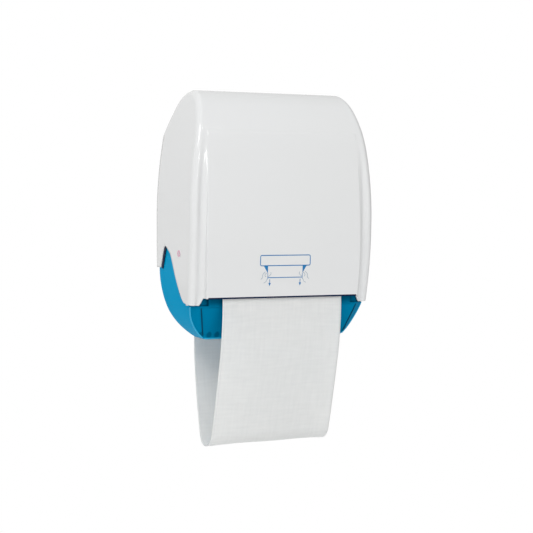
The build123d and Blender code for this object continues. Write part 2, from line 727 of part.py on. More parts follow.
def make_pinch_rocker():
    """Two arms joined by a tube that turns on the pivot rod. They press the pinch roller on the towel."""
    arm_from = cheek_inner_x - pinch_arm_gap - pinch_arm_thickness
    rocker = tube(
        pinch_pivot[0], pinch_pivot[1], pinch_shaft_radius + rocker_wall, pinch_shaft_radius + running_gap,
        -arm_from - pinch_arm_thickness, arm_from + pinch_arm_thickness,
    )
    for side in (-1, 1):
        low, high = sorted((side * arm_from, side * (arm_from + pinch_arm_thickness)))
        arm = rod(pinch_pivot[0], pinch_pivot[1], pinch_arm_pivot_radius, low, high)
        arm += rod(pinch_place[0], pinch_place[1], pinch_arm_end_radius, low, high)
        dy, dz = pinch_place[0] - pinch_pivot[0], pinch_place[1] - pinch_pivot[1]
        lean = degrees(atan2(dz, dy))
        bar = Box(pinch_arm_thickness, hypot(dy, dz), pinch_arm_width)
        centre = Pos((low + high) / 2, pinch_pivot[0] + dy / 2, pinch_pivot[1] + dz / 2)
        arm += centre * Rot(lean, 0, 0) * bar
        arm -= rod(pinch_pivot[0], pinch_pivot[1], pinch_shaft_radius + running_gap, low - 1, high + 1)
        arm -= rod(pinch_place[0], pinch_place[1], pinch_shaft_radius + running_gap, low - 1, high + 1)
        rocker += arm
    return rocker


def make_spring(side):
    """Torsion spring round the pivot rod, with one leg on the arm and one towards the frame."""
    coil_radius = pinch_shaft_radius + rocker_wall + roll_gap + spring_wire
    length = spring_pitch * spring_turns
    path = Helix(spring_pitch, length, coil_radius)
    section = Plane(origin=path @ 0, z_dir=path % 0) * Circle(spring_wire)
    coil = sweep(section, path=path)
    inner_end = cheek_inner_x - spring_inset
    start = -inner_end if side < 0 else inner_end - length
    return Pos(start, pinch_pivot[0], pinch_pivot[1]) * Rot(0, 90, 0) * coil


def make_screws():
    """Screws that hold the frame's feet to the wall plate."""
    screws = []
    for side in (-1, 1):
        for z in cheek_screw_z:
            face_y = seat_y - cheek_flange_thickness
            screws.append(screw(side * cheek_screw_x, face_y, z, cheek_flange_thickness))
    return screws


def screw(x, face_y, z, grip):
    """A pan-head screw whose head seats at face_y and whose shank enters the wall plate."""
    shank_length = grip + plate_thickness - 0.5
    shank = Pos(x, face_y + shank_length / 2, z) * Cylinder(screw_radius - 0.02, shank_length, rotation=(90, 0, 0))
    head = Pos(x, face_y - screw_head_height / 2, z) * Cylinder(
        screw_head_radius, screw_head_height, rotation=(90, 0, 0)
    )
    return shank + head


def hub(side, radius_in_core):
    """A plug in the end of a core, with a flange and a stub that turns in the frame's slot."""
    flange_from = towel_half_width + 1.0
    plug_from = towel_half_width - hub_depth
    stub_to = cheek_outer_x + hub_overhang
    low, high = sorted((side * flange_from, side * (flange_from + hub_flange_thickness)))
    plug = rod(clean_roll_y, clean_roll_z, hub_flange_radius, low, high)
    low, high = sorted((side * plug_from, side * flange_from))
    plug += rod(clean_roll_y, clean_roll_z, radius_in_core, low, high)
    low, high = sorted((side * flange_from, side * stub_to))
    plug += rod(clean_roll_y, clean_roll_z, stub_radius, low, high)
    return plug


def bush(y, z, side):
    """A flanged bush in a cheek, with the flange inside."""
    low, high = sorted((side * cheek_inner_x, side * cheek_outer_x))
    sleeve = rod(y, z, bush_radius, low, high)
    sleeve += rod(y, z, bush_flange_radius, *sorted((side * (cheek_inner_x - bush_flange), side * cheek_inner_x)))
    bore = sorted((side * (cheek_inner_x - 2 * bush_flange), side * (cheek_outer_x + 1)))
    return sleeve - rod(y, z, drive_shaft_radius + running_gap, *bore)


def make_lock():
    """The parts of the cam lock, all along X through the left side of the cover. The cam points back."""
    face_x = -cover_half_at(lock_z + lock_radius + lock_collar)
    front_x = face_x - lock_collar_height
    bore = lock_plug_radius + running_gap
    body = tube(lock_y, lock_z, lock_radius, bore, face_x, face_x + lock_depth)
    body += tube(lock_y, lock_z, lock_radius + lock_collar, bore, front_x, face_x)
    ring = tube(
        lock_y, lock_z, lock_ring_radius, lock_ring_radius - lock_ring_width, front_x - lock_ring_height, front_x
    )
    cam_x = face_x + lock_depth + roll_gap
    plug = rod(lock_y, lock_z, lock_plug_radius, front_x, cam_x + cam_thickness)
    plug -= Pos(front_x, lock_y, lock_z) * Box(2 * key_slot_depth, key_slot_width, key_slot_height)
    cam = rod(lock_y, lock_z, cam_width / 2, cam_x, cam_x + cam_thickness)
    cam += block(
        (cam_x, lock_y, lock_z - cam_width / 2), (cam_x + cam_thickness, lock_y + cam_length, lock_z + cam_width / 2)
    )
    cam -= rod(lock_y, lock_z, lock_plug_radius, cam_x - 1, cam_x + cam_thickness + 1)
    nut_x = face_x + cover_wall + roll_gap
    nut = Pos(nut_x, lock_y, lock_z) * Rot(0, 90, 0) * extrude(
        RegularPolygon(lock_nut_radius, 6), amount=lock_nut_thickness
    )
    nut -= rod(lock_y, lock_z, lock_radius + fixed_gap, face_x, face_x + lock_depth)
    return body, ring, plug, cam, nut


def make_catch():
    """Bracket on the housing's left wall. Its lug stands in front of the cam when the cam points down."""
    wall_x = -tub_half_width + tub_wall
    lug_back_y = lock_y - cam_width / 2 - catch_gap
    lug_front_y = lug_back_y - catch_lug_thickness
    lug_top = lock_z - lock_nut_radius - catch_drop
    foot_top = lug_top - catch_lug_height / 2
    lug_end_x = -cover_half_at(lock_z) + lock_depth + 2 * lock_depth / 3
    bracket = block(
        (wall_x, lug_front_y, foot_top - catch_foot_height),
        (wall_x + catch_foot_thickness, lug_front_y + catch_foot_length, foot_top),
    )
    bracket += block((wall_x, lug_front_y, lug_top - catch_lug_height), (lug_end_x, lug_back_y, lug_top))
    return bracket


def build_nodes():
    """Every piece by its name."""
    nodes = {}
    nodes["cover"] = make_cover()
    nodes["cover_edge_strip"] = make_edge_strip()
    nodes["lower_housing"] = make_lower_housing()
    nodes["back_plate"] = make_back_plate()
    nodes["frame_cheek_left"] = make_cheek(-1)
    nodes["frame_cheek_right"] = make_cheek(1)
    nodes["frame_screws"] = make_screws()
    housing_face = seat_y - tub_wall
    nodes["housing_screws"] = [
        screw(x, housing_face - 0.9, housing_screw_z, tub_wall + 0.9) for x in (-housing_screw_x, housing_screw_x)
    ]
    rod_end = ear_outer_x + 2.0
    nodes["hinge_rod"] = rod(hinge_y, hinge_z, hinge_rod_radius, -rod_end, rod_end)
    nodes["hinge_clips"] = [
        tube(hinge_y, hinge_z, hinge_rod_radius + 2.5, hinge_rod_radius, *sorted((s * rod_end, s * (rod_end - 1.2))))
        for s in (-1, 1)
    ]
    nodes["guide_bar"] = rod(guide_y, guide_z, guide_radius, -cheek_outer_x, cheek_outer_x)
    nodes["clean_towel_roll"] = tube(
        clean_roll_y, clean_roll_z, clean_roll_radius, core_radius, -towel_half_width, towel_half_width
    )
    core_inner = core_radius - core_wall
    nodes["clean_roll_core"] = tube(
        clean_roll_y, clean_roll_z, core_radius, core_inner, -towel_half_width, towel_half_width
    )
    nodes["roll_hub_left"] = hub(-1, core_inner)
    nodes["roll_hub_right"] = hub(1, core_inner)
    drum_end = towel_half_width + drum_overhang
    drum_radius = drive_radius - drive_sleeve
    nodes["transport_drum"] = tube(drive_y, drive_z, drum_radius, drive_shaft_radius, -drum_end, drum_end)
    nodes["transport_grip_sleeve"] = tube(
        drive_y, drive_z, drive_radius, drum_radius, -towel_half_width, towel_half_width
    )
    shaft_end = gear_inner_x + gear_width + shaft_overhang
    nodes["transport_shaft"] = rod(drive_y, drive_z, drive_shaft_radius, -cheek_outer_x - shaft_overhang, shaft_end)
    nodes["shaft_bushes"] = [
        bush(y, z, side) for y, z in ((drive_y, drive_z), (takeup_y, takeup_z)) for side in (-1, 1)
    ]
    nodes["pinch_pivot_rod"] = rod(
        pinch_pivot[0], pinch_pivot[1], pinch_shaft_radius, -cheek_outer_x, cheek_outer_x
    )
    nodes["pinch_rocker"] = make_pinch_rocker()
    arm_outer = cheek_inner_x - pinch_arm_gap
    nodes["pinch_shaft"] = rod(pinch_place[0], pinch_place[1], pinch_shaft_radius, -arm_outer, arm_outer)
    nodes["pinch_roller"] = tube(
        pinch_place[0], pinch_place[1], pinch_radius, pinch_shaft_radius + running_gap,
        -towel_half_width, towel_half_width,
    )
    nodes["pinch_spring_left"] = make_spring(-1)
    nodes["pinch_spring_right"] = make_spring(1)
    nodes["takeup_shaft"] = rod(takeup_y, takeup_z, drive_shaft_radius, -cheek_outer_x - shaft_overhang, shaft_end)
    nodes["takeup_spindle"] = tube(takeup_y, takeup_z, spindle_radius, drive_shaft_radius, -drum_end, drum_end)
    nodes["soiled_towel_roll"] = tube(
        takeup_y, takeup_z, takeup_radius, spindle_radius, -towel_half_width, towel_half_width
    )
    places = {"drive": (drive_y, drive_z), "idler": (idler_y, idler_z), "takeup": (takeup_y, takeup_z)}
    idler_turn = mesh_turn(places["drive"], places["idler"], drive_teeth, idler_teeth, 0.0)
    takeup_turn = mesh_turn(places["idler"], places["takeup"], idler_teeth, takeup_teeth, idler_turn)
    shaft_bore = drive_shaft_radius + fixed_gap
    nodes["transport_gear"] = spur_gear(drive_teeth, drive_y, drive_z, 0.0, shaft_bore)
    nodes["idler_gear"] = spur_gear(idler_teeth, idler_y, idler_z, idler_turn, idler_pin_radius + running_gap)
    nodes["takeup_gear"] = spur_gear(takeup_teeth, takeup_y, takeup_z, takeup_turn, shaft_bore)
    pin_end = gear_inner_x + gear_width + 0.4
    pin = rod(idler_y, idler_z, idler_pin_radius, cheek_inner_x, pin_end)
    head = rod(idler_y, idler_z, idler_pin_radius + idler_pin_head, pin_end, pin_end + idler_pin_head_height)
    nodes["idler_pin"] = pin + head
    nodes["towel_feed"] = make_towel_feed()
    nodes["towel_loop"] = make_towel_loop()
    body, ring, plug, cam, nut = make_lock()
    nodes["lock_body"] = body
    nodes["lock_ring"] = ring
    nodes["lock_plug"] = plug
    nodes["lock_cam"] = cam
    nodes["lock_nut"] = nut
    nodes["lock_catch"] = make_catch()
    return nodes


os.makedirs("parts", exist_ok=True)
for name, shape in build_nodes().items():
    if isinstance(shape, list):
        shape = Compound(children=shape)
    export_step(shape, os.path.join("parts", name + ".step"))
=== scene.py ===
import json
import math
import bmesh
import bpy
import numpy as np
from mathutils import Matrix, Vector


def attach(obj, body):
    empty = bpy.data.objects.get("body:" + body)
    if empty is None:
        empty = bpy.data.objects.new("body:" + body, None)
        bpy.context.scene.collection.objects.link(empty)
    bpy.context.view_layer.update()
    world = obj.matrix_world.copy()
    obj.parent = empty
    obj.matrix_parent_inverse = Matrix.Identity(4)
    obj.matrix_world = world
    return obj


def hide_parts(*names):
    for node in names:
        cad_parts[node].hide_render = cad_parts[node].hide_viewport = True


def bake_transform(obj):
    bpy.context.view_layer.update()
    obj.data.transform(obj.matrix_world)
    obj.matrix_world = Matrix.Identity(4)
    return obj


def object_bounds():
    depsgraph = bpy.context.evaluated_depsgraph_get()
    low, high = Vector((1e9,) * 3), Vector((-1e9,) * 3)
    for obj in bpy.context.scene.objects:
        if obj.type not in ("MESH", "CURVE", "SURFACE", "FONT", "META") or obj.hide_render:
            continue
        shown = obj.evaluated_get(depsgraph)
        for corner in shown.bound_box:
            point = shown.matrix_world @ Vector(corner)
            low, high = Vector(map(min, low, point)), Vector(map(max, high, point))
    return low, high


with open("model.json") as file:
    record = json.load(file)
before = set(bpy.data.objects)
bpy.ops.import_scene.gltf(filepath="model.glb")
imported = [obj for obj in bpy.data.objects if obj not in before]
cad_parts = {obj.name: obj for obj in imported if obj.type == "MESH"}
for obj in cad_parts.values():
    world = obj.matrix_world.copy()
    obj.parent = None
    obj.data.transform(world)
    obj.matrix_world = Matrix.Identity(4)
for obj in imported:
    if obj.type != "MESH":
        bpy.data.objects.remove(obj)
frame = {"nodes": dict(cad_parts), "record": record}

cadBounds = [[float(v) for v in corner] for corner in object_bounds()]
print("frame loaded:", len(frame["nodes"]), "nodes")


# Shader maths: a wrapped socket, so that a pattern can be written as an expression

# One shader value. Adding, subtracting, multiplying or dividing wires puts in Math nodes.
class Wire:
    def __init__(self, shader, socket):
        self.shader = shader
        self.socket = socket

    def math(self, operation, *others):
        return self.shader.node("ShaderNodeMath", {"operation": operation}, [self, *others])

    def __add__(self, other):
        return self.math("ADD", other)

    __radd__ = __add__

    def __sub__(self, other):
        return self.math("SUBTRACT", other)

    def __rsub__(self, other):
        return self.shader.node("ShaderNodeMath", {"operation": "SUBTRACT"}, [other, self])

    def __mul__(self, other):
        return self.math("MULTIPLY", other)

    __rmul__ = __mul__

    def __truediv__(self, other):
        return self.math("DIVIDE", other)

    def __pow__(self, other):
        return self.math("POWER", other)

    def clamp(self):
        return self.math("MAXIMUM", 0.0).math("MINIMUM", 1.0)


# A node tree, with one method that adds any node to it.
class Shader:
    def __init__(self, tree):
        self.tree = tree

    # Settings are the node's own properties. Values go to its inputs by name or by place.
    def node(self, kind, settings=None, values=None, output=0):
        made = self.tree.nodes.new(kind)
        for key, value in (settings or {}).items():
            if key == "stops":
                ramp = made.color_ramp.elements
                for number, (place, colour) in enumerate(value):
                    stop = ramp[number] if number < 2 else ramp.new(place)
                    stop.position = place
                    stop.color = (*colour, 1.0)
            else:
                setattr(made, key, value)
        pairs = values.items() if isinstance(values, dict) else enumerate(values or [])
        for key, value in pairs:
            if isinstance(value, Wire):
                self.tree.links.new(value.socket, made.inputs[key])
            else:
                made.inputs[key].default_value = value
        return Wire(self, made.outputs[output])

    # Rays from the camera see the second shader, and all other rays meet the first.
    def litAndSeen(self, lit, seen, outputName):
        rays = self.node("ShaderNodeLightPath", output="Is Camera Ray")
        mix = self.node("ShaderNodeMixShader", {}, [rays, lit, seen])
        self.tree.links.new(mix.socket, self.tree.nodes[outputName].inputs[0])


# A material with its Principled shader.
class Finish(Shader):
    def __init__(self, name):
        self.material = bpy.data.materials.new(name)
        self.material.use_nodes = True
        super().__init__(self.material.node_tree)
        self.principled = self.tree.nodes["Principled BSDF"]

    # Inputs of the shader by name, each a wire or a value. A colour gets its alpha here.
    def set(self, **values):
        for key, value in values.items():
            socket = self.principled.inputs[key.replace("_", " ")]
            if isinstance(value, Wire):
                self.tree.links.new(value.socket, socket)
            else:
                socket.default_value = (*value, 1.0) if socket.type == "RGBA" else value

    def place(self, source="Object"):
        return self.node("ShaderNodeTexCoord", output=source)

    # Noise on coordinates that are stretched first.
    def noise(self, scale, detail=3.0, source="Object", stretch=(1, 1, 1)):
        where = self.node("ShaderNodeMapping", {}, {"Vector": self.place(source), "Scale": stretch})
        return self.node("ShaderNodeTexNoise", {}, {"Vector": where, "Scale": scale, "Detail": detail})

    # A number that goes from low to high as factor goes from 0 to 1.
    def between(self, factor, low, high):
        return factor * (high - low) + low

    # First where factor is 0 and second where it is 1. Each is a wire or a fixed colour.
    def mixColour(self, factor, first, second):
        first, second = (c if isinstance(c, Wire) else (*c, 1.0) for c in (first, second))
        return self.node("ShaderNodeMix", {"data_type": "RGBA"}, {0: factor, 6: first, 7: second}, 2)

    def bump(self, height, distance, strength):
        values = {"Height": height, "Distance": distance, "Strength": strength}
        return self.node("ShaderNodeBump", {}, values)


# A screen colour, 0 to 255, as the linear numbers that a shader takes.
def srgb(red, green, blue):
    levels = np.array([red, green, blue]) / 255.0
    linear = np.where(levels <= 0.04045, levels / 12.92, ((levels + 0.055) / 1.055) ** 2.4)
    return tuple(float(v) for v in linear)


# Finishes

# Glossy white that drifts between two close whites, under a thin coat.
def makeWhitePlastic():
    look = {"colour": srgb(231, 232, 234), "warm": srgb(230, 231, 231), "roughness": 0.15}
    finish = Finish("whiteGlossPlastic")
    drift = finish.noise(3.0, 2.0)
    grain = finish.noise(900.0, 2.0)
    smudge = finish.noise(18.0, 4.0)
    finish.set(
        Base_Color=finish.mixColour(drift, look["colour"], look["warm"]),
        Roughness=finish.between(smudge, look["roughness"] - 0.03, look["roughness"] + 0.05),
        Normal=finish.bump(grain, 0.00004, 0.25),
        Coat_Weight=0.5,
        Coat_Roughness=0.05,
        IOR=1.5,
    )
    return finish.material


# Cloudy blue, brightest where light comes through the sides. The front has painted shade, for the works
# that stand behind it: depth behind the front plane, compared with the corner's depth at that height.
# Painted shadows of the ribs behind the wall show as rows of round patches just above the lower rim, and a
# band of painted shadow lies along the top of the front, under the panel.
def makeBluePlastic():
    look = {
        "bright": srgb(0, 162, 212), "deep": srgb(0, 150, 198), "front": srgb(0, 122, 166),
        "shadow": srgb(0, 62, 90), "roughness": 0.2, "ribSpacing": 0.0172, "ribZ": -0.2385,
        "ribHalfHeight": 0.0065, "frontTop": -0.178, "frontY": -0.1744, "frontLean": 0.52,
        "cornerDepth": 0.0135, "cornerFrom": -0.190, "cornerSpan": 0.054, "cornerSharp": 700.0,
        "mouthZ": -0.186, "mouthSharp": 70.0,
    }
    finish = Finish("blueTranslucentPlastic")
    cloud = finish.noise(8.0, 3.0)
    grain = finish.noise(500.0, 2.0)
    split = finish.node("ShaderNodeSeparateXYZ", {}, [finish.place()]).socket.node
    x, y, z = (Wire(finish, split.outputs[k]) for k in range(3))
    # Painted shade on the front: frontShade is 1 on the front face, where the works behind the wall shade
    # it, and 0 on the sides.
    depth = y - look["frontY"] + (z - look["frontTop"]) * look["frontLean"]
    fall = ((look["cornerFrom"] - z) / look["cornerSpan"]).math("MAXIMUM", 0.0) ** 3.0
    frontShade = ((look["cornerDepth"] * (1 - fall) - depth) * look["cornerSharp"] + 0.5).clamp()
    # Painted shadows of the ribs behind the wall: a row of round patches just above the lower rim.
    away = ((z - look["ribZ"]) / look["ribHalfHeight"]) ** 2.0
    lobe = (x * (math.pi / look["ribSpacing"])).math("SINE") ** 2.0
    patch = (lobe * 1.5 + 0.1 - away).clamp()
    # Painted shadow under the panel: a dark band along the top of the front, above mouthZ.
    mouth = ((z - look["mouthZ"]) * look["mouthSharp"]).clamp()
    # paintedShade: the rib shadows and the band under the panel, kept to the front, which takes the colour
    # towards the shadow colour.
    paintedShade = (patch * 0.55 + mouth * 0.5) * frontShade
    body = finish.mixColour(cloud, look["bright"], look["deep"])
    # The body turns towards the front colour, which is painted shade, where frontShade is 1.
    body = finish.mixColour(frontShade * 0.85, body, look["front"])
    finish.set(
        Base_Color=finish.mixColour(paintedShade, body, look["shadow"]),
        Roughness=finish.between(cloud, look["roughness"], look["roughness"] + 0.1),
        Normal=finish.bump(grain, 0.00004, 0.2),
        IOR=1.25,
        Specular_IOR_Level=0.025,
        Specular_Tint=(0.0, 0.55, 0.85),
    )
    return finish.material


# Plain weave on the cloth's own UV, in metres: a sine across times a sine along. Noise stretched each
# way gives the thick and thin threads, and the tone drops at the two selvedges.
def makeCloth():
    look = {"pale": srgb(246, 247, 246), "shade": srgb(222, 224, 224), "threads": 900.0, "selvedge": 0.1285}
    finish = Finish("towelCloth")
    split = finish.node("ShaderNodeSeparateXYZ", {}, [finish.place("UV")]).socket.node
    across, along = (Wire(finish, split.outputs[k]) for k in range(2))
    warp = (across * (2 * math.pi * look["threads"])).math("SINE")
    weft = (along * (2 * math.pi * look["threads"])).math("SINE")
    weave = warp * weft * 0.5 + 0.5
    slub = finish.noise(190.0, 3.0, "UV", (1.0, 0.10, 1.0))
    fleck = finish.noise(190.0, 3.0, "UV", (0.10, 1.0, 1.0))
    patch = finish.noise(9.0, 3.0, "UV")
    edge = ((across.math("ABSOLUTE") - look["selvedge"]) * 900.0).clamp()
    tone = weave * 0.12 + (slub + fleck - 1.0) * 0.5 + patch * 0.25 + 0.42 - edge * 0.2
    finish.set(
        Base_Color=finish.mixColour(tone, look["shade"], look["pale"]),
        Roughness=finish.between(slub, 0.85, 0.98),
        Normal=finish.bump(weave * 0.5 + slub + fleck, 0.0003, 0.35),
        Subsurface_Weight=0.5,
        Subsurface_Radius=(1.0, 1.0, 1.0),
        Subsurface_Scale=0.003,
        Sheen_Weight=0.25,
        Sheen_Roughness=0.5,
    )
    return finish.material


# Moulded plastic or board: cloudy colour, with a fine grain in roughness and relief.
def makeMoulded(name, colour, roughness, scale=260.0):
    finish = Finish(name)
    grain = finish.noise(scale, 3.0)
    patch = finish.noise(14.0, 3.0)
    dark = tuple(0.86 * v for v in colour)
    finish.set(
        Base_Color=finish.mixColour(patch, dark, colour),
        Roughness=finish.between(grain, roughness - 0.06, roughness + 0.08),
        Normal=finish.bump(grain, 0.00008, 0.3),
    )
    return finish.material


# Bare metal: noise stretched along the drawing direction.
def makeMetal(name, colour, roughness, stretch):
    finish = Finish(name)
    brushed = finish.noise(220.0, 3.0, "Object", stretch)
    patch = finish.noise(25.0, 3.0)
    dark = tuple(0.8 * v for v in colour)
    finish.set(
        Base_Color=finish.mixColour(brushed, dark, colour),
        Roughness=finish.between(patch, roughness - 0.05, roughness + 0.1),
        Normal=finish.bump(brushed, 0.00003, 0.3),
        Metallic=1.0,
    )
    return finish.material


# Dark rubber with fine ribs round the drum.
def makeRubber():
    finish = Finish("gripRubber")
    ribbed = {"Vector": finish.place(), "Scale": 60.0}
    ribs = finish.node("ShaderNodeTexWave", {"bands_direction": "X"}, ribbed)
    patch = finish.noise(40.0, 3.0)
    finish.set(
        Base_Color=finish.mixColour(patch, srgb(40, 41, 44), srgb(62, 63, 66)),
        Roughness=finish.between(patch, 0.55, 0.75),
        Normal=finish.bump(ribs, 0.0004, 0.5),
    )
    return finish.material


# Ink, paint or coloured trim: two close colours in a fine speckle.
def makePrint(name, first, second, shine=0.5):
    finish = Finish(name)
    speckle = finish.noise(600.0, 2.0)
    finish.set(
        Base_Color=finish.mixColour(speckle, first, second),
        Roughness=finish.between(speckle, 0.3, 0.42),
        Normal=finish.bump(speckle, 0.00002, 0.2),
        Specular_IOR_Level=shine,
    )
    return finish.material


finishes = {
    "white_abs": makeWhitePlastic(),
    "blue_translucent": makeBluePlastic(),
    "grey_frame": makeMoulded("greyFramePlastic", srgb(172, 176, 181), 0.5),
    "steel": makeMetal("drawnSteel", srgb(196, 198, 201), 0.3, (1.0, 12.0, 12.0)),
    "zinc": makeMetal("brightZinc", srgb(240, 240, 242), 0.3, (3.0, 3.0, 3.0)),
    "gear_nylon": makeMoulded("naturalNylon", srgb(226, 222, 206), 0.42, 180.0),
    "grip_rubber": makeRubber(),
    "core_board": makeMoulded("greyCore", srgb(150, 156, 163), 0.6),
    "towel_cloth": makeCloth(),
    "ring_red": makeMoulded("redPaint", srgb(228, 160, 188), 0.35),
    # The navy finish is painted shade: on the strip under the panel's edge and the strip along the tongue's
    # edge, it stands for the shadow lines there.
    "navy_trim": makePrint("navyShadowStrip", srgb(14, 26, 58), srgb(20, 34, 70), 0.1),
}
printFinish = makePrint("bluePrint", srgb(0, 108, 172), srgb(24, 128, 188))
# The beads' light blue is painted highlight, for the light caught on the housing's edges.
highlightBeadFinish = makePrint("highlightBeadBlue", srgb(20, 170, 216), srgb(40, 182, 224))
# shadowBlue is painted shade, for the dark lines in the housing's inner corners.
shadowBlue = makePrint("shadowBlue", srgb(2, 62, 90), srgb(4, 78, 108), 0.05)
paleFinish = makePrint("palePrint", srgb(128, 152, 172), srgb(150, 170, 188))
nodeSlot = {row["node"]: row["material_slot"] for row in frame["record"]["subparts"]}
ownFinish = {"lock_body": makeMoulded("paleCollar", srgb(240, 238, 240), 0.3)}
for nodeName, nodeObject in frame["nodes"].items():
    nodeObject.data.materials.clear()
    nodeObject.data.materials.append(ownFinish.get(nodeName, finishes[nodeSlot[nodeName]]))
    nodeObject.data.polygons.foreach_set("use_smooth", np.ones(len(nodeObject.data.polygons), bool))
    nodeObject.data.set_sharp_from_angle(angle=math.radians(28))
print("finishes made for", len(frame["nodes"]), "nodes")


# Mesh helpers

# A mesh, lamp or camera put in the scene.
def addObject(name, data):
    made = bpy.data.objects.new(name, data)
    bpy.context.scene.collection.objects.link(made)
    return made


# A mesh object from an array of points and an array of faces.
def addMesh(name, points, faces, uv=None):
    mesh = bpy.data.meshes.new(name)
    mesh.from_pydata(points.tolist(), [], [list(face) for face in faces])
    mesh.update()
    if uv is not None:
        layer = mesh.uv_layers.new(name="UVMap")
        corners = np.zeros(len(mesh.loops), np.int32)
        mesh.loops.foreach_get("vertex_index", corners)
        layer.data.foreach_set("uv", uv[corners].astype(np.float32).ravel())
    return addObject(name, mesh)


# The quads of a grid whose points run column by column along each row.
def gridFaces(rows, columns, start=0):
    row, column = np.meshgrid(np.arange(rows - 1), np.arange(columns - 1), indexing="ij")
    first = start + row * columns + column
    quads = np.stack([first, first + 1, first + columns + 1, first + columns], axis=-1)
    return quads.reshape(-1, 4)


# One mesh from several grids of points, each rows x columns x 3.
def joinGrids(name, grids, uvs=None):
    points, faces, flats, start = [], [], [], 0
    for number, grid in enumerate(grids):
        rows, columns = grid.shape[:2]
        points.append(grid.reshape(-1, 3))
        faces.append(gridFaces(rows, columns, start=start))
        if uvs is not None:
            flats.append(uvs[number].reshape(-1, 2))
        start += rows * columns
    uv = np.concatenate(flats) if flats else None
    return addMesh(name, np.concatenate(points), np.concatenate(faces), uv)


# Merge the points that coincide and turn the faces outwards.
def weld(piece, distance):
    work = bmesh.new()
    work.from_mesh(piece.data)
    bmesh.ops.remove_doubles(work, verts=work.verts, dist=distance)
    bmesh.ops.recalc_face_normals(work, faces=work.faces)
    work.to_mesh(piece.data)
    work.free()
    piece.data.update()


# Smooth shading, with edges sharper than the angle left sharp.
def smooth(piece, angle=None):
    piece.data.polygons.foreach_set("use_smooth", np.ones(len(piece.data.polygons), bool))
    if angle is not None:
        piece.data.set_sharp_from_angle(angle=math.radians(angle))
    piece.data.update()


# A wall of even thickness, inwards from the surface, or half to each side at offset 0.
def thicken(piece, thickness, offset=-1.0):
    modifier = piece.modifiers.new("wall", "SOLIDIFY")
    modifier.thickness = thickness
    modifier.offset = offset
    modifier.use_even_offset = True
    modifier.use_quality_normals = True


# A piece's finish and body, and the nodes it stands for; the slot name is not used. One that blends two
# bodies has no body here.
def dress(piece, body, finish, slotName, *replaced):
    piece.data.materials.clear()
    piece.data.materials.append(finish)
    if body:
        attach(piece, body)
    if replaced:
        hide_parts(*replaced)
    return piece


# Points from their coordinates: several arrays spread to one shape, as the last axis of a new one.
def spread(*arrays):
    return np.stack(np.broadcast_arrays(*arrays), axis=-1)


# The distance along a row of points, from 0 at its start.
def runLength(points):
    return np.concatenate([[0], np.cumsum(np.linalg.norm(np.diff(points, axis=0), axis=1))])


# The direction of a row of points at each of them, of length 1.
def directions(points):
    step = np.gradient(points, axis=0)
    return step / np.linalg.norm(step, axis=1)[:, None]


# Outlines shared by the cover's pieces. Side view points are (y, z) in metres.

case = {
    "halfWidth": 0.205, "ridge": (-0.0944, 0.260), "ridgeHalfWidth": 0.1694,
    "brow": (-0.161, 0.225), "chest": (-0.1908, 0.140), "front": (-0.195, 0.020), "hem": (-0.1746, -0.177),
    "rearBrow": (-0.029, 0.225), "rearFoot": (0.025, 0.060), "wall": 0.0025, "corner": 0.011,
    "hemHalfWidth": 0.202, "hemTaperZ": -0.040, "taperZ": 0.0,
    "tongueWidth": 0.020, "tongueZ": -0.1046, "leafBack": (-0.037, -0.068), "leafFront": (-0.0555, -0.0615),
    "slotFrom": 0.1435, "slotTo": 0.1535, "slotFrontY": -0.0735, "slotColumns": (24, 26),
    "rearLowZ": 0.205, "rearTopZ": 0.224, "rearHalfWidths": (0.172, 0.168, 0.162), "levelGap": 0.0012,
    "leaf": [(-0.080, -0.080), (-0.105, -0.125), (-0.136, -0.166)], "leafEnd": (-0.157, -0.1745),
}
panel = {
    "halfWidth": 0.1735, "widestZ": -0.053, "topHalfWidth": 0.167, "topZ": 0.175,
    "frontY": -0.1985, "vertexZ": -0.030, "upperRadius": 1.790, "lowerRadius": 1.000,
    "bottomZ": -0.161, "bottomHalfWidth": 0.1695, "flare": 0.0095, "edge": 0.0012, "topFade": 0.006,
    "groove": 0.0036, "grooveLean": 0.95, "grooveFullZ": 0.0, "grooveEndZ": 0.185, "leastStrip": 0.0035,
}


# Points of the arc that leaves start along heading and ends at end. The turn is twice the
# angle between the heading and the chord.
def arcPoints(start, heading, end, count):
    start, end = np.array(start), np.array(end)
    chord = end - start
    length = np.hypot(*chord)
    sideways = heading[0] * chord[1] - heading[1] * chord[0]
    onward = heading[0] * chord[0] + heading[1] * chord[1]
    bend = math.atan2(sideways, onward)
    if abs(bend) < 1e-6:
        return start + np.linspace(0, 1, count)[:, None] * chord, chord / length
    radius = length / (2 * math.sin(bend))
    side = np.array([-heading[1], heading[0]])
    centre = start + radius * side
    turns = np.linspace(0, 2 * bend, count)[:, None]
    arm = start - centre
    points = centre + np.cos(turns) * arm + np.sin(turns) * np.array([-arm[1], arm[0]])
    leave = np.array([
        heading[0] * math.cos(2 * bend) - heading[1] * math.sin(2 * bend),
        heading[0] * math.sin(2 * bend) + heading[1] * math.cos(2 * bend),
    ])
    return points, leave


# Tangent arcs one after another, as one row of points.
def chain(start, heading, ends, counts):
    rows = []
    for end, count in zip(ends, counts):
        points, heading = arcPoints(start, heading, end, count)
        rows.append(points if not rows else points[1:])
        start = end
    return np.concatenate(rows)


# How far an arc that starts upright has come in after a reach, if it comes in by drop at full reach.
def sag(drop, fullReach, reach):
    radius = (drop ** 2 + fullReach ** 2) / (2 * drop)
    return radius - np.sqrt(radius ** 2 - np.clip(reach, 0, 0.9 * radius) ** 2)


# Half-width of the cover at a height: constant, with one long arc above and one below.
def caseHalfWidth(z):
    wide, low, high = case["halfWidth"], case["hemTaperZ"], case["taperZ"]
    up = sag(wide - case["ridgeHalfWidth"], case["ridge"][1] - high, z - high)
    down = sag(wide - case["hemHalfWidth"], low - case["hem"][1], low - z)
    return wide - up - down


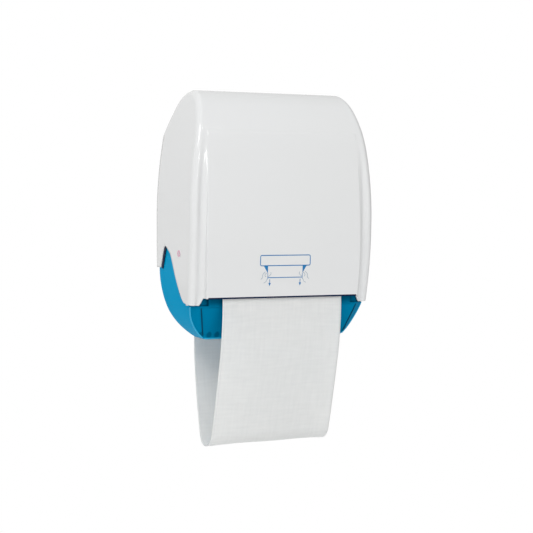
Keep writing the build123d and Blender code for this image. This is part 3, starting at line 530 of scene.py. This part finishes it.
# Half-width of the raised panel at a height: an arc up and an arc down from its widest level.
def panelHalfWidth(z):
    wide, level = panel["halfWidth"], panel["widestZ"]
    up = sag(wide - panel["topHalfWidth"], panel["topZ"] - level, z - level)
    down = sag(wide - panel["bottomHalfWidth"], level - case["hem"][1], level - z)
    return wide - up - down


# Front of the raised panel at a height: two arcs that share a vertical tangent at its vertex.
def panelFrontY(z):
    reach = np.clip(z - panel["vertexZ"], None, 0.25)
    radius = np.where(reach > 0, panel["upperRadius"], panel["lowerRadius"])
    return panel["frontY"] + radius - np.sqrt(radius ** 2 - reach ** 2)


# Smooth step from 0 at low to 1 at high.
def rise(value, low, high):
    t = np.clip((value - low) / (high - low), 0, 1)
    return t * t * (3 - 2 * t)


# The cover's side outline from under the hem over the ridge to the wall, finely sampled: one row
# of (y, z, inward y, inward z, corner radius) for the front and one for the rear.
def coverOutline():
    frontEnds = [case["brow"], case["chest"], case["front"], case["hem"]]
    hemUp = chain(case["ridge"], (-1.0, 0.0), frontEnds, [400, 300, 300, 500])[::-1]
    onward = hemUp[0] - hemUp[8]
    under = hemUp[0] + np.linspace(0.020, 0.0005, 40)[:, None] * onward / np.hypot(*onward)
    front = np.concatenate([under, hemUp])
    rear = chain(case["ridge"], (1.0, 0.0), [case["rearBrow"], case["rearFoot"]], [400, 800])
    wallZ = float(np.interp(0.0, rear[:, 0], rear[:, 1]))
    rear = np.concatenate([rear[rear[:, 0] < -0.0001], [[0.0, wallZ]]])
    rows = []
    for row in (front, rear):
        step = directions(row)
        radius = np.full(len(row), case["corner"])
        rows.append(np.column_stack([row, step[:, 1], -step[:, 0], radius]))
    rows[1][:, 4] *= np.clip(-rows[1][:, 0] / 0.025, 0, 1)
    return rows[0], rows[1], wallZ


# The outline's samples where its corner's inner end passes each level.
def outlineAt(rows, levels):
    insetZ = rows[:, 1] + rows[:, 4] * rows[:, 3]
    order = np.argsort(insetZ)
    return np.column_stack([np.interp(levels, insetZ[order], rows[order, k]) for k in range(5)])


# Half of the front or rear skin: rows along the outline, columns from the middle to the corner.
# On the front the panel stands proud inside its edge, and a shallow groove runs beside it.
def frontSkin(outline, edge, isFront):
    y, z = outline[:, 0], outline[:, 1]
    outer = caseHalfWidth(z) - outline[:, 4]
    edge = np.minimum(edge, outer - panel["leastStrip"])
    steps = np.array([-0.0060, -0.0030, -0.0016, -0.0010, -0.0004, 0.0, 0.0005, 0.0016])
    inside = (edge[:, None] + steps[0]) * np.linspace(0, 1, 30)[None, :]
    besides = edge[:, None] + steps[None, 1:]
    if not isFront:  # the slot columns stand on both sides of the slot for the frame's neck
        low, high = case["slotFrom"], case["slotTo"]
        near = np.append(np.linspace(0, low, case["slotColumns"][0] + 1), [(low + high) / 2, high])
        left = inside.shape[1] + besides.shape[1] - len(near)
        inside = np.broadcast_to(near, (len(edge), len(near)))
        besides = high + (edge[:, None] - high) * np.linspace(0, 1, left + 1)[None, 1:]
    last = besides[:, -1]
    rest = last[:, None] + (outer - last)[:, None] * np.linspace(0, 1, 9)[None, 1:]
    x = np.concatenate([inside, besides, rest], axis=1)
    back = np.zeros_like(x)
    if isFront:
        below = 1 - rise(z, panel["topZ"] - panel["topFade"], panel["topZ"])
        proud = np.clip(y - panelFrontY(z), 0, None) * below
        mask = 1 - rise(x, edge[:, None] - panel["edge"], edge[:, None] + 0.0002)
        along = np.clip((x - edge[:, None]) / (outer - edge)[:, None], 0, 1)
        fade = 1 - rise(z, panel["grooveFullZ"], panel["grooveEndZ"])
        dip = panel["groove"] * np.sin(math.pi * along ** panel["grooveLean"]) ** 2 * fade[:, None]
        back = dip - proud[:, None] * mask
    return spread(x, y[:, None] + back, z[:, None]), len(inside[0]) + len(besides[0]) - 1


# Quarter rounds from the front skin's last column to the side face's first.
def cornerSkin(outline):
    turns = np.linspace(0, math.pi / 2, 12)
    depth = outline[:, 4, None] * (1 - np.cos(turns))[None, :]
    aside = outline[:, 4, None] * (1 - np.sin(turns))[None, :]
    yz = outline[:, None, :2] + outline[:, None, 2:4] * depth[:, :, None]
    share = np.sin(turns)
    width = caseHalfWidth(outline[:, 1])[:, None] * (1 - share) + caseHalfWidth(yz[:, :, 1]) * share
    return np.concatenate([(width - aside)[:, :, None], yz], axis=2)


# A side face between two lines given at each level, with x from the half-width at the level.
def sideSkin(levels, near, far, count):
    ratio = np.linspace(0, 1, count)[None, :]
    y, z = near[:, None] * (1 - ratio) + far[:, None] * ratio, levels[:, None]
    return spread(caseHalfWidth(z), y, z)


# The two sides of the cut-out, each as a row of (y, z) that rises to the top of its round crown.
def cutOutLines():
    foot, back, front = (-case["tongueWidth"], case["tongueZ"]), case["leafBack"], case["leafFront"]
    climb = np.array(back) - np.array(foot)
    crown, _ = arcPoints(back, climb / np.hypot(*climb), front, 400)
    top = int(np.argmax(crown[:, 1]))
    curve = splineRow(np.array([front, *case["leaf"], case["leafEnd"]]), 300)
    leaf = np.concatenate([crown[top:], curve[1:]])[::-1]
    return leaf, np.concatenate([[foot], crown[:top + 1]])


# The cover's outer skin in grids that share their edge points, thickened inwards. Levels are
# heights: each level is one row of the front skin, the corner and the side face.
def makeCover():
    front, rear, wallZ = coverOutline()
    hemZ, tongueZ, leafEndZ = case["hem"][1], case["tongueZ"], case["leafEnd"][1]
    leaf, tongueSide = cutOutLines()
    apexY, apexZ = leaf[-1]
    insetZ = front[:, 1] + front[:, 4] * front[:, 3]
    length = runLength(front[:, :2])
    spaced = np.interp(np.linspace(0, length[-1], 86), length, insetZ)
    slotZ = np.interp(-case["slotFrontY"], -rear[:, 0], rear[:, 1] + rear[:, 4] * rear[:, 3])
    fixed = np.concatenate([
        [hemZ, leafEndZ, panel["bottomZ"], tongueZ, apexZ, wallZ, insetZ[-1], slotZ],
        [case["rearTopZ"], case["rearLowZ"]],
        apexZ - case["levelGap"] * np.array([0.15, 0.6, 1.4, 2.6, 4.2, 6.5, 9.0, 12.0]),
        panel["topZ"] - panel["topFade"] * np.array([0, 0.25, 0.5, 0.75, 1]),
    ])
    clear = np.abs(spaced[:, None] - fixed[None, :]).min(axis=1) > case["levelGap"]
    levels = np.sort(np.concatenate([spaced[clear & (spaced > hemZ)], fixed]))
    rearLevels = levels[levels >= wallZ - 1e-9]
    frontRow = outlineAt(front, levels)
    rearRow = outlineAt(rear, rearLevels)
    frontRow[:, 1] = np.maximum(frontRow[:, 1], hemZ)
    rearRow[-1] = frontRow[-1]

    panelEdge = panelHalfWidth(frontRow[:, 1])
    skin, panelColumns = frontSkin(frontRow, panelEdge, True)
    share = np.clip((panel["bottomZ"] - frontRow[:, 1]) / (panel["bottomZ"] - hemZ), 0, 1)
    flare = panel["flare"] * share
    strip = skin[:, panelColumns:, 0]
    strip += flare[:, None] * (strip[:, -1:] - strip) / (strip[:, -1:] - strip[:, :1])
    rearEdge = np.interp(
        rearRow[:, 1], [wallZ, case["rearLowZ"], case["rearTopZ"], case["ridge"][1]],
        [*case["rearHalfWidths"], frontSkinEdge(frontRow[-1])],
    )
    back, _ = frontSkin(rearRow, rearEdge, False)
    back[-1] = skin[-1]
    corner, backCorner = cornerSkin(frontRow), cornerSkin(rearRow)
    corner[:, :, 2] = np.maximum(corner[:, :, 2], hemZ)

    climb = np.clip(levels - apexZ, 0, None) / (levels[-1] - apexZ)
    splitY = apexY + (case["ridge"][0] - apexY) * climb ** 2
    leafY = np.interp(levels, leaf[:, 1], leaf[:, 0])
    splitY = np.where(levels < apexZ, leafY, splitY)
    frontEdge = corner[:, -1, 1]
    splitY = np.maximum(splitY, frontEdge)
    rearEnd = np.concatenate([np.zeros(len(levels) - len(rearLevels)), backCorner[:, -1, 1]])
    upper = levels >= apexZ - 1e-9
    tongue = (levels >= tongueZ - 1e-9) & (levels <= apexZ + 1e-9)
    tongueEdge = np.interp(levels, tongueSide[:, 1], tongueSide[:, 0])

    fromPanel = levels >= panel["bottomZ"] - 1e-9
    stillRear = rearRow[:, 1] >= case["rearTopZ"] - 0.0005
    pastSlot = rearRow[:, 0] <= case["slotFrontY"] + 0.0002
    low, high = case["slotColumns"]
    grids = []
    for sign in (1, -1):
        flip = np.array([sign, 1, 1])
        grids += [
            skin[fromPanel][:, :panelColumns + 1] * flip, skin[:, panelColumns:] * flip, corner * flip,
            back[stillRear][:, :low + 1] * flip, back[pastSlot][:, low:high + 1] * flip,
            back[stillRear][:, high:panelColumns + 1] * flip, back[:, panelColumns:] * flip,
            backCorner * flip,
            sideSkin(levels, frontEdge, splitY, 18) * flip,
            sideSkin(levels[upper], splitY[upper], rearEnd[upper], 10) * flip,
            sideSkin(levels[tongue], tongueEdge[tongue], rearEnd[tongue], 10) * flip,
        ]
    made = joinGrids("coverShell", grids)
    weld(made, 0.00004)
    smooth(made, 38)
    thicken(made, case["wall"])
    return dress(made, "cover", finishes["white_abs"], "white_abs", "cover")


# Where the panel's edge column stands on one row of the outline.
def frontSkinEdge(row):
    outer = caseHalfWidth(row[1]) - row[4]
    return float(min(panelHalfWidth(row[1]), outer - panel["leastStrip"]))


# A smooth row through given points: a Catmull-Rom curve.
def splineRow(knots, count):
    padded = np.concatenate([[2 * knots[0] - knots[1]], knots, [2 * knots[-1] - knots[-2]]])
    spans = len(knots) - 1
    t = np.linspace(0, spans, count)
    first = np.clip(t.astype(int), 0, spans - 1)
    u = (t - first)[:, None]
    p0, p1, p2, p3 = (padded[first + shift] for shift in range(4))
    second, third = 2 * p0 - 5 * p1 + 4 * p2 - p3, 3 * p1 - p0 - 3 * p2 + p3
    return 0.5 * (2 * p1 + (p2 - p0) * u + second * u ** 2 + third * u ** 3)


# A hinge eye on each side: a plate between its bore and an outline, round below and widening up to
# the roof. Each outline point is the farthest one, along a ray from the bore's centre, still inside.
def makeHingeEyes():
    eye = {
        "y": -0.060, "z": 0.228, "bore": 0.0041, "round": 0.009, "top": 0.032, "underRoof": 0.0012,
        "farthest": 0.045, "from": 0.1545, "thick": 0.005,
    }
    _, rear, _ = coverOutline()
    turns = np.linspace(0, 2 * math.pi, 145)
    ray = spread(np.cos(turns), np.sin(turns))
    reach = np.linspace(0, eye["farthest"], 451)[:, None]
    y, z = reach * ray[:, 0], reach * ray[:, 1]
    roof = np.interp(-eye["y"] - y, -rear[:, 0], rear[:, 1]) - eye["z"] - eye["underRoof"]
    within = (z >= 0) & (z <= roof)
    within &= (y <= eye["round"]) & (y >= -eye["round"] * (1 + z / eye["top"]))
    outline = np.where(within | (reach <= eye["round"]), reach, 0).max(axis=0)
    ratio = np.linspace(0, 1, 5)[:, None]
    far = (eye["bore"] * (1 - ratio) + outline * ratio)[:, :, None] * ray
    middle = eye["from"] + eye["thick"] / 2
    made = joinGrids("coverHingeEyes", [
        spread(side * middle, eye["y"] + far[..., 0], eye["z"] + far[..., 1]) for side in (-1, 1)
    ])
    weld(made, 0.00001)
    thicken(made, eye["thick"], 0.0)
    smooth(made, 30)
    dress(made, "cover", finishes["white_abs"], "white_abs", "cover")


makeHingeEyes()
cover = makeCover()
print("cover made:", len(cover.data.polygons), "faces")


# Towel: the hanging loop and the feed, which follow their lines in side view, and the two wound rolls

web = {
    "halfWidth": 0.134, "thickness": 0.0009, "drive": (-0.153, -0.118), "driveWrap": 0.0319,
    "nipAngle": 50.0, "outZ": -0.166, "knee": (-0.168, -0.300), "heel": (-0.128, -0.443),
    "bottom": (-0.0925, -0.470), "toe": (-0.0665, -0.451), "riseZ": -0.312, "inZ": -0.263,
    "backY": -0.0331, "topZ": -0.035, "lean": 0.0028, "wave": 0.0016, "feedWave": 0.0010,
    "freeFrom": 0.20, "freeTo": 0.34, "pinch": (-0.12549, -0.08521), "pinchRadius": 0.010,
    "lift": 0.0009, "bendFromZ": 0.070, "bendToZ": -0.070,
}
rolls = {
    "clean": {
        "centre": (-0.092, 0.140), "radius": 0.056, "core": 0.020, "halfWidth": 0.134, "ply": 0.0018,
        "step": 0.0008, "soft": 0.0004, "ridge": 0.0007, "ridgeSteps": 5, "wander": 0.0012, "around": 120,
    },
    "soiled": {
        "centre": (-0.068, -0.035), "radius": 0.034, "core": 0.012, "halfWidth": 0.134, "ply": 0.0020,
        "step": 0.0008, "soft": 0.0009, "ridge": 0.0010, "ridgeSteps": 5, "wander": 0.0026, "around": 120,
    },
}


# The towel's line in side view, from the nip over the roller, down the loop and up to the roll.
def loopLine():
    angles = np.radians(np.linspace(web["nipAngle"], 180.0, 24))
    over = np.array(web["drive"]) + web["driveWrap"] * spread(np.cos(angles), np.sin(angles))
    down = np.linspace(over[-1], (over[-1][0], web["outZ"]), 12)
    climb, enter = (web["backY"] - web["lean"], web["riseZ"]), (web["backY"], web["inZ"])
    ends = [web["knee"], web["heel"], web["bottom"], web["toe"], climb, enter]
    loop = chain(tuple(down[-1]), (0.0, -1.0), ends, [40, 40, 24, 24, 40, 16])
    up = np.linspace(enter, (web["backY"], web["topZ"]), 40)
    return np.concatenate([over, down[1:], loop[1:], up[1:]])


# Cloth from its line in side view: each point is the line's plus a shift along the line's normal.
# Its UV is in metres, across the cloth and along it.
def clothFromLine(name, line, across, shift):
    step = directions(line)
    normal = spread(step[:, 1], -step[:, 0])
    x = np.broadcast_to(across * web["halfWidth"], shift.shape)
    yz = line[:, None, :] + normal[:, None, :] * shift[:, :, None]
    grid = np.concatenate([x[:, :, None], yz], axis=2)
    made = joinGrids(name, [grid], [spread(x, runLength(line)[:, None])])
    weld(made, 0.00001)
    smooth(made)
    thicken(made, web["thickness"], 0.0)
    return made


# The loop: long shallow waves across the cloth, which grow as it hangs lower.
def makeTowelLoop():
    line = loopLine()
    length = runLength(line)
    along, across = length[:, None], np.linspace(-1, 1, 81)[None, :]
    free = rise(-line[:, 1], web["freeFrom"], web["freeTo"])[:, None]
    waves = 0.6 * np.sin(2.1 * across + 9.0 * along) + 0.4 * np.sin(5.3 * across - 14.0 * along + 1.0)
    towel = clothFromLine("towelLoopCloth", line, across, web["wave"] * free * waves)
    dress(towel, "frame", finishes["towel_cloth"], "towel_cloth", "towel_loop")
    return towel


# The towel's other stretch, inside the case: straight from the clean roll to the pinch roller, then
# round it to the nip. The straight is the line that touches both circles and crosses between them.
def feedLine():
    reel = np.array(rolls["clean"]["centre"])
    pinch = np.array(web["pinch"])
    leave, wrap = rolls["clean"]["radius"] + web["lift"], web["pinchRadius"] + web["lift"]
    between = pinch - reel
    turn = math.atan2(between[1], between[0]) - math.acos((leave + wrap) / np.hypot(*between))
    out = np.array([math.cos(turn), math.sin(turn)])
    angles = np.linspace(turn + math.pi, math.radians(web["nipAngle"] - 180.0), 30)
    wound = pinch + wrap * spread(np.cos(angles), np.sin(angles))
    straight = np.linspace(reel + leave * out, wound[0], 60)
    return np.concatenate([straight, wound[1:]])


# The feed: a small wave that fades out at both ends.
def makeTowelFeed():
    line = feedLine()
    length = runLength(line)
    along, across = length[:, None], np.linspace(-1, 1, 61)[None, :]
    free = np.sin(math.pi * np.clip(along / (0.8 * length[-1]), 0, 1)) ** 2
    waves = np.sin(3.0 * across + 20.0 * along)
    feed = clothFromLine("towelFeedCloth", line, across, web["feedWave"] * free * waves)
    dress(feed, None, finishes["towel_cloth"], "towel_cloth", "towel_feed")
    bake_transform(feed)


# A grid that runs round an axis along x: points at a half-width x and a radius, at each turn.
def roundGrid(x, centre, radius, turns):
    return spread(x, centre[0] + radius * np.cos(turns), centre[1] + radius * np.sin(turns))


# Wound towel: the outside falls by one ply per turn, with soft bands along it. On each end the plies
# stand as a spiral of small ridges: the depth of the end face is a cosine of radius over ply.
def makeRoll(name, node, body, roll):
    turns = np.linspace(0, 2 * math.pi, roll["around"] + 1)[None, :]
    ply = roll["ply"]
    fall = ply * turns / (2 * math.pi)
    centre = roll["centre"]
    x = np.linspace(-1, 1, 41)[:, None] * (roll["halfWidth"] - ply / 2)
    bands = roll["soft"] * (1 + np.sin(70 * x + 2 * turns) * np.sin(3 * turns + 40 * x)) / 2
    radius = roll["radius"] - roll["step"] * turns / (2 * math.pi) - bands
    grids, flats = [roundGrid(x, centre, radius, turns)], [spread(x, roll["radius"] * turns)]
    plies = int(round((roll["radius"] - roll["core"]) / ply))
    inward = np.linspace(0, 1, plies * roll["ridgeSteps"] + 1)[:, None]
    for side in (-1, 1):
        rim = radius[0 if side < 0 else -1][None, :]
        ring = rim + (roll["core"] - rim) * inward
        ridge = 0.5 - 0.5 * np.cos(2 * math.pi * (roll["radius"] - ring - fall) / ply)
        edge = np.clip(inward * plies * 2, 0, 1) * np.clip((1 - inward) * plies * 2, 0, 1)
        drift = np.sin(0.9 * plies * inward + 0.7) * np.sin(turns + 4 * inward)
        wander = roll["wander"] * (0.5 + 0.5 * drift)
        depth = ply / 2 - edge * (ply / 2 - wander * 0.5) + edge * roll["ridge"] * ridge
        grids.append(roundGrid(side * (roll["halfWidth"] - depth), centre, ring, turns))
        flats.append(spread(side * 0.2 + ring, roll["radius"] * turns))
    ends = np.array([-1, 1])[:, None]
    grids.append(roundGrid(ends * (roll["halfWidth"] - ply / 2), centre, roll["core"], turns))
    flats.append(spread(ends * 0.13, roll["core"] * turns))
    made = joinGrids(name, grids, flats)
    weld(made, 0.00002)
    smooth(made, 50)
    return dress(made, body, finishes["towel_cloth"], "towel_cloth", node)


towel = makeTowelLoop()
makeTowelFeed()
cleanRoll = makeRoll("cleanTowelWound", "clean_towel_roll", "clean_roll", rolls["clean"])
makeRoll("soiledTowelWound", "soiled_towel_roll", "takeup", rolls["soiled"])
print("towel made:", len(towel.data.polygons), "faces in the loop")
print("clean roll made:", len(cleanRoll.data.polygons), "faces")


# Pictogram on the panel: a towel drawn down out of its housing by two hands

# The closed outline of a box with round corners, as points (x, z).
def roundedBox(halfWidth, top, low, radius):
    rows = []
    corners = [(halfWidth, top), (-halfWidth, top), (-halfWidth, low), (halfWidth, low)]
    for number, (x, z) in enumerate(corners):
        centre = np.array([x - math.copysign(radius, x), z + (radius if z == low else -radius)])
        turns = np.radians(np.linspace(90 * number, 90 * number + 90, 6))
        rows.append(centre + radius * spread(np.cos(turns), np.sin(turns)))
    rows.append(rows[0][:1])
    return np.concatenate(rows)


# Points (x, z) laid on the front of the panel, a little proud of it.
def onPanel(points, lift):
    return spread(points[:, 0], panelFrontY(points[:, 1]) - lift, points[:, 1])


# One flat mesh of ribbons and filled triangles. A ribbon is its line moved half its width
# to either side along the line's normal.
def drawStrokes(name, strokes, fills, lift, depth, finish):
    points, faces, start = [], [], 0
    for line, width in strokes:
        step = directions(line)
        aside = spread(-step[:, 1], step[:, 0]) * width / 2
        both = np.stack([line - aside, line + aside], axis=1).reshape(-1, 2)
        points.append(both)
        faces += gridFaces(len(line), 2, start=start).tolist()
        start += len(both)
    for corners in fills:
        points.append(np.array(corners))
        faces.append(list(range(start, start + len(corners))))
        start += len(corners)
    flat = np.concatenate(points)
    made = addMesh(name, onPanel(flat, lift), faces)
    weld(made, 0.000001)
    thicken(made, depth, 0.0)
    dress(made, "cover", finish, "blue_translucent")


# Box, sheet, arrows and wedges in strong blue; hands as thin pale lines. Sizes in metres.
def makePictogram():
    mark = {
        "halfWidth": 0.0560, "top": -0.0776, "low": -0.0985, "corner": 0.0030, "boxLine": 0.0018,
        "wedgeOut": 0.0486, "wedgeIn": 0.0390, "wedgeTip": -0.1140, "sheetZ": -0.1228, "sheetHalf": 0.0390,
        "sheetLine": 0.0016, "arrowX": 0.0342, "arrowTop": -0.1262, "arrowHead": -0.1336,
        "arrowTip": -0.1400, "arrowLine": 0.0013, "arrowHalf": 0.0028, "handLine": 0.0009,
        "lift": 0.00012, "depth": 0.0001, "edgeDrop": 0.003, "edgeLine": 0.00096,
    }
    hand = {
        "back": [(0.0450, -0.1108), (0.0500, -0.1160), (0.0505, -0.1220), (0.0542, -0.1262)],
        "thumb": [(0.0325, -0.1114), (0.0322, -0.1160), (0.0385, -0.1210)],
        "finger": [(0.0405, -0.1130), (0.0440, -0.1150), (0.0452, -0.1185), (0.0430, -0.1212)],
        "wrist": [(0.0402, -0.1250), (0.0425, -0.1305), (0.0475, -0.1338)],
    }
    box = roundedBox(mark["halfWidth"], mark["top"], mark["low"], mark["corner"])
    sheet = np.linspace((-mark["sheetHalf"], mark["sheetZ"]), (mark["sheetHalf"], mark["sheetZ"]), 12)
    strokes, fills, hands = [(box, mark["boxLine"]), (sheet, mark["sheetLine"])], [], []
    for side in (-1, 1):
        wedge, arrow = side * mark["wedgeIn"], side * mark["arrowX"]
        tip = (wedge, mark["wedgeTip"])
        fills.append([(side * mark["wedgeOut"], mark["low"]), (wedge, mark["low"]), tip])
        edge = [tip, (side * mark["sheetHalf"], mark["sheetZ"] - mark["edgeDrop"])]
        strokes.append((np.linspace(*edge, 5), mark["edgeLine"]))
        stem = [(arrow, mark["arrowTop"]), (arrow, mark["arrowHead"])]
        strokes.append((np.linspace(*stem, 4), mark["arrowLine"]))
        fills.append([
            (arrow - mark["arrowHalf"], mark["arrowHead"]), (arrow + mark["arrowHalf"], mark["arrowHead"]),
            (arrow, mark["arrowTip"]),
        ])
        for line in hand.values():
            hands.append((splineRow(np.array(line) * np.array([side, 1]), 14), mark["handLine"]))
    drawStrokes("pictogramTowel", strokes, fills, mark["lift"], mark["depth"], printFinish)
    drawStrokes("pictogramHands", hands, [], mark["lift"], mark["depth"], paleFinish)


makePictogram()
print("pictogram made")


# Beads along the lower housing's edges, whose light blue is painted highlight, dark lines of painted shade
# in its corners, webs in the corners of its mouth, and dark trim of painted shade in the cut-outs

# A round bead: a circle carried along a path, square to it, drawn to a point at each end.
def tubeGrid(path, radius, around=10):
    step = directions(path)
    side = np.cross(step, np.array([0.31, 0.77, 0.55]))
    side = side / np.linalg.norm(side, axis=1)[:, None]
    other = np.cross(step, side)
    turns = np.linspace(0, 2 * math.pi, around + 1)
    ease = np.minimum(1, np.minimum(np.arange(len(path)), np.arange(len(path))[::-1]) / 2.0)
    size = (radius * np.sqrt(1 - (1 - ease) ** 2))[:, None, None]
    ring = np.cos(turns)[None, :, None] * side[:, None, :] + np.sin(turns)[None, :, None] * other[:, None, :]
    return path[:, None, :] + size * ring


# Beads on the rim and outer edges, whose light blue is painted highlight, dark lines of painted shade in the
# corners, and a flat web in each corner of
# the mouth: rows from its low edge up to a top edge with one round corner.
def makeHousingTrim():
    trim = {
        "outerEdge": [
            (0.1941, -0.1612, -0.1785), (0.1928, -0.1565, -0.1868), (0.1886, -0.1492, -0.2010),
            (0.1825, -0.1440, -0.2145), (0.1748, -0.1408, -0.2270), (0.1656, -0.1395, -0.2380),
            (0.1582, -0.1396, -0.2450),
        ],
        "innerEdge": [(0.1757, -0.1732, -0.1810), (0.1597, -0.1424, -0.2400)],
        "rim": (-0.1388, -0.2462), "rimHalf": 0.1572, "bead": 0.0016, "rimBead": 0.0018, "line": 0.0014,
        "webInner": 0.1585, "webOuter": 0.1765, "webY": -0.1698, "webTop": -0.1606, "webLow": -0.1781,
        "webWall": 0.0020, "webCorner": 0.0040,
    }
    bright, deep = [], []
    for side in (-1, 1):
        flip = np.array([side, 1, 1])
        bright.append(tubeGrid(splineRow(np.array(trim["outerEdge"]), 60) * flip, trim["bead"]))
        # Dark lines of painted shade, down each inner corner.
        start, end = np.array(trim["innerEdge"]) * flip
        deep.append(tubeGrid(np.linspace(start, end, 24), trim["line"]))
    across = np.linspace(-trim["rimHalf"], trim["rimHalf"], 80)
    bright.append(tubeGrid(spread(across, *trim["rim"]), trim["rimBead"]))
    beads = joinGrids("housingEdgeHighlightBeads", bright)
    lines = joinGrids("housingCornerShadeLines", deep)
    for piece, finish in ((beads, highlightBeadFinish), (lines, shadowBlue)):
        weld(piece, 0.000002)
        smooth(piece)
        dress(piece, "frame", finish, "blue_translucent")

    turns, ratio = np.linspace(0, math.pi / 2, 8), np.linspace(0, 1, 4)[:, None]
    low, top, corner = trim["webLow"], trim["webTop"], trim["webCorner"]
    x = np.append(trim["webOuter"] - corner * (1 - np.cos(turns)), trim["webInner"])
    z = np.append(top - corner * (1 - np.sin(turns)), top)
    webs = [spread(side * x, trim["webY"], low + (z - low) * ratio) for side in (-1, 1)]
    made = joinGrids("housingCornerWebs", webs)
    weld(made, 0.00001)
    thicken(made, trim["webWall"], 0.0)
    smooth(made, 30)
    dress(made, "frame", finishes["blue_translucent"], "blue_translucent")


# A dark strip of painted shade, for the shadow gap between the tongue and the blue housing, lies just inside
# the wall, along the tongue's edge: a band whose width grows from the crown down, with x from the cover's
# half-width at each level.
def makeTongueShadowStrip():
    trim = {
        "width": 0.0078, "least": 0.0004, "taper": 0.012, "inside": 0.0030, "wall": 0.0007, "under": 0.0012,
    }
    _, edge = cutOutLines()
    along = runLength(edge)
    even = np.linspace(0, along[-1], 60)
    rows = np.column_stack([np.interp(even, along, edge[:, k]) for k in range(2)])
    length = runLength(rows)
    width = trim["width"] * rise(length[-1] - length, 0.0, trim["taper"]) + trim["least"]
    step = directions(rows)
    normal = spread(-step[:, 1], step[:, 0])
    normal *= np.sign(-normal[:1, :1])
    ratio = np.linspace(0, 1, 5)[None, :]
    reach = -trim["under"] + (width[:, None] + trim["under"]) * ratio
    yz = rows[:, None, :] + normal[:, None, :] * reach[:, :, None]
    x = caseHalfWidth(yz[:, :, 1]) - trim["inside"]
    grids = [np.concatenate([side * x[:, :, None], yz], axis=2) for side in (-1, 1)]
    made = joinGrids("tongueEdgeShadowStrip", grids)
    weld(made, 0.000002)
    thicken(made, trim["wall"], 0.0)
    smooth(made, 40)
    dress(made, "cover", finishes["navy_trim"], "navy_trim")


makeHousingTrim()
makeTongueShadowStrip()
print("trim made")


# Stage, light and camera

# A wide pale floor well below the towel, which the camera sees as white.
def makeStage():
    ground = {"below": 0.35, "reach": 9}
    floorZ, reach = cadBounds[0][2] - ground["below"], ground["reach"]
    corners = [(x * reach, y * reach, floorZ) for x, y in ((-1, -1), (1, -1), (1, 1), (-1, 1))]
    mesh = bpy.data.meshes.new("floor")
    mesh.from_pydata(corners, [], [(0, 1, 2, 3)])
    floor = addObject("floor", mesh)
    finish = Finish("paleFloor")
    finish.set(Base_Color=(0.9, 0.9, 0.9), Roughness=0.9)
    glow = finish.node("ShaderNodeEmission", {}, {"Color": (1, 1, 1, 1)})
    finish.litAndSeen(Wire(finish, finish.principled.outputs[0]), glow, "Material Output")
    mesh.materials.append(finish.material)


# Soft light from all round, whose strength is a ramp over the direction's x, from left to right. The
# room is brightest in front and dimmest on the right.
def makeWorld():
    room = [(0.0, 0.56), (0.32, 0.86), (0.62, 0.86), (1.0, 0.10)]
    world = bpy.data.worlds.new("studio")
    bpy.context.scene.world = world
    world.use_nodes = True
    shader = Shader(world.node_tree)
    direction = shader.node("ShaderNodeTexCoord", output="Generated")
    across = shader.node("ShaderNodeSeparateXYZ", {}, [direction])
    share = shader.node("ShaderNodeMapRange", {}, {"Value": across, "From Min": -1.0})
    stops = [(place, (grey, grey, grey)) for place, grey in room]
    level = shader.node("ShaderNodeValToRGB", {"stops": stops}, [share])
    ambient = world.node_tree.nodes["Background"]
    ambient.inputs[0].default_value = (1.0, 1.0, 0.99, 1)
    world.node_tree.links.new(level.socket, ambient.inputs[1])
    seen = shader.node("ShaderNodeBackground", {}, [(1, 1, 1, 1), 1.0])
    shader.litAndSeen(Wire(shader, ambient.outputs[0]), seen, "World Output")


# A rectangular lamp in watts, turned to face its aim.
def addLamp(name, place, aim, size, power):
    lamp = bpy.data.lights.new(name, "AREA")
    lamp.shape = "RECTANGLE"
    lamp.size, lamp.size_y = size
    lamp.energy = power
    made = addObject(name, lamp)
    made.location = place
    made.rotation_euler = lookAngles(np.array(aim) - np.array(place))


# Euler angles that point -Z along a direction, with +Y up.
def lookAngles(direction):
    x, y, z = direction / np.linalg.norm(direction)
    return (math.acos(-z), 0.0, math.atan2(-x, y))


# A level camera: the focal length and horizon are in pixels of a square frame.
def makeCamera():
    view = {
        "place": (-1.260, -2.807, 0.0), "azimuth": 25.0, "focalPixels": 1426.0, "horizon": 217.0,
        "frame": 533.0, "sensor": 36.0,
    }
    lens = bpy.data.cameras.new("camera")
    lens.sensor_width = view["sensor"]
    lens.lens = view["focalPixels"] / view["frame"] * view["sensor"]
    lens.shift_y = (view["horizon"] - view["frame"] / 2) / view["frame"]
    lens.clip_end = 50.0
    made = addObject("camera", lens)
    made.location = view["place"]
    turn = math.radians(view["azimuth"])
    made.rotation_euler = lookAngles(np.array([math.sin(turn), math.cos(turn), 0.0]))
    bpy.context.scene.camera = made


makeStage()
makeWorld()
addLamp("keyLamp", (-1.6, -2.4, 1.9), (0, -0.1, 0.0), (1.6, 1.6), 29.5)
addLamp("sideLamp", (-2.6, -0.2, 0.6), (-0.2, -0.1, 0.0), (1.4, 1.8), 1.5)
addLamp("windowLamp", (0.15, -3.13, 0.60), (-0.175, -0.19, 0.12), (0.10, 0.24), 3.2)
addLamp("paneLamp", (0.82, -2.47, 1.86), (-0.17, -0.185, 0.175), (0.12, 0.12), 0.6)
makeCamera()
bpy.context.scene.view_settings.view_transform = "Standard"
print("stage, lamps and camera made")
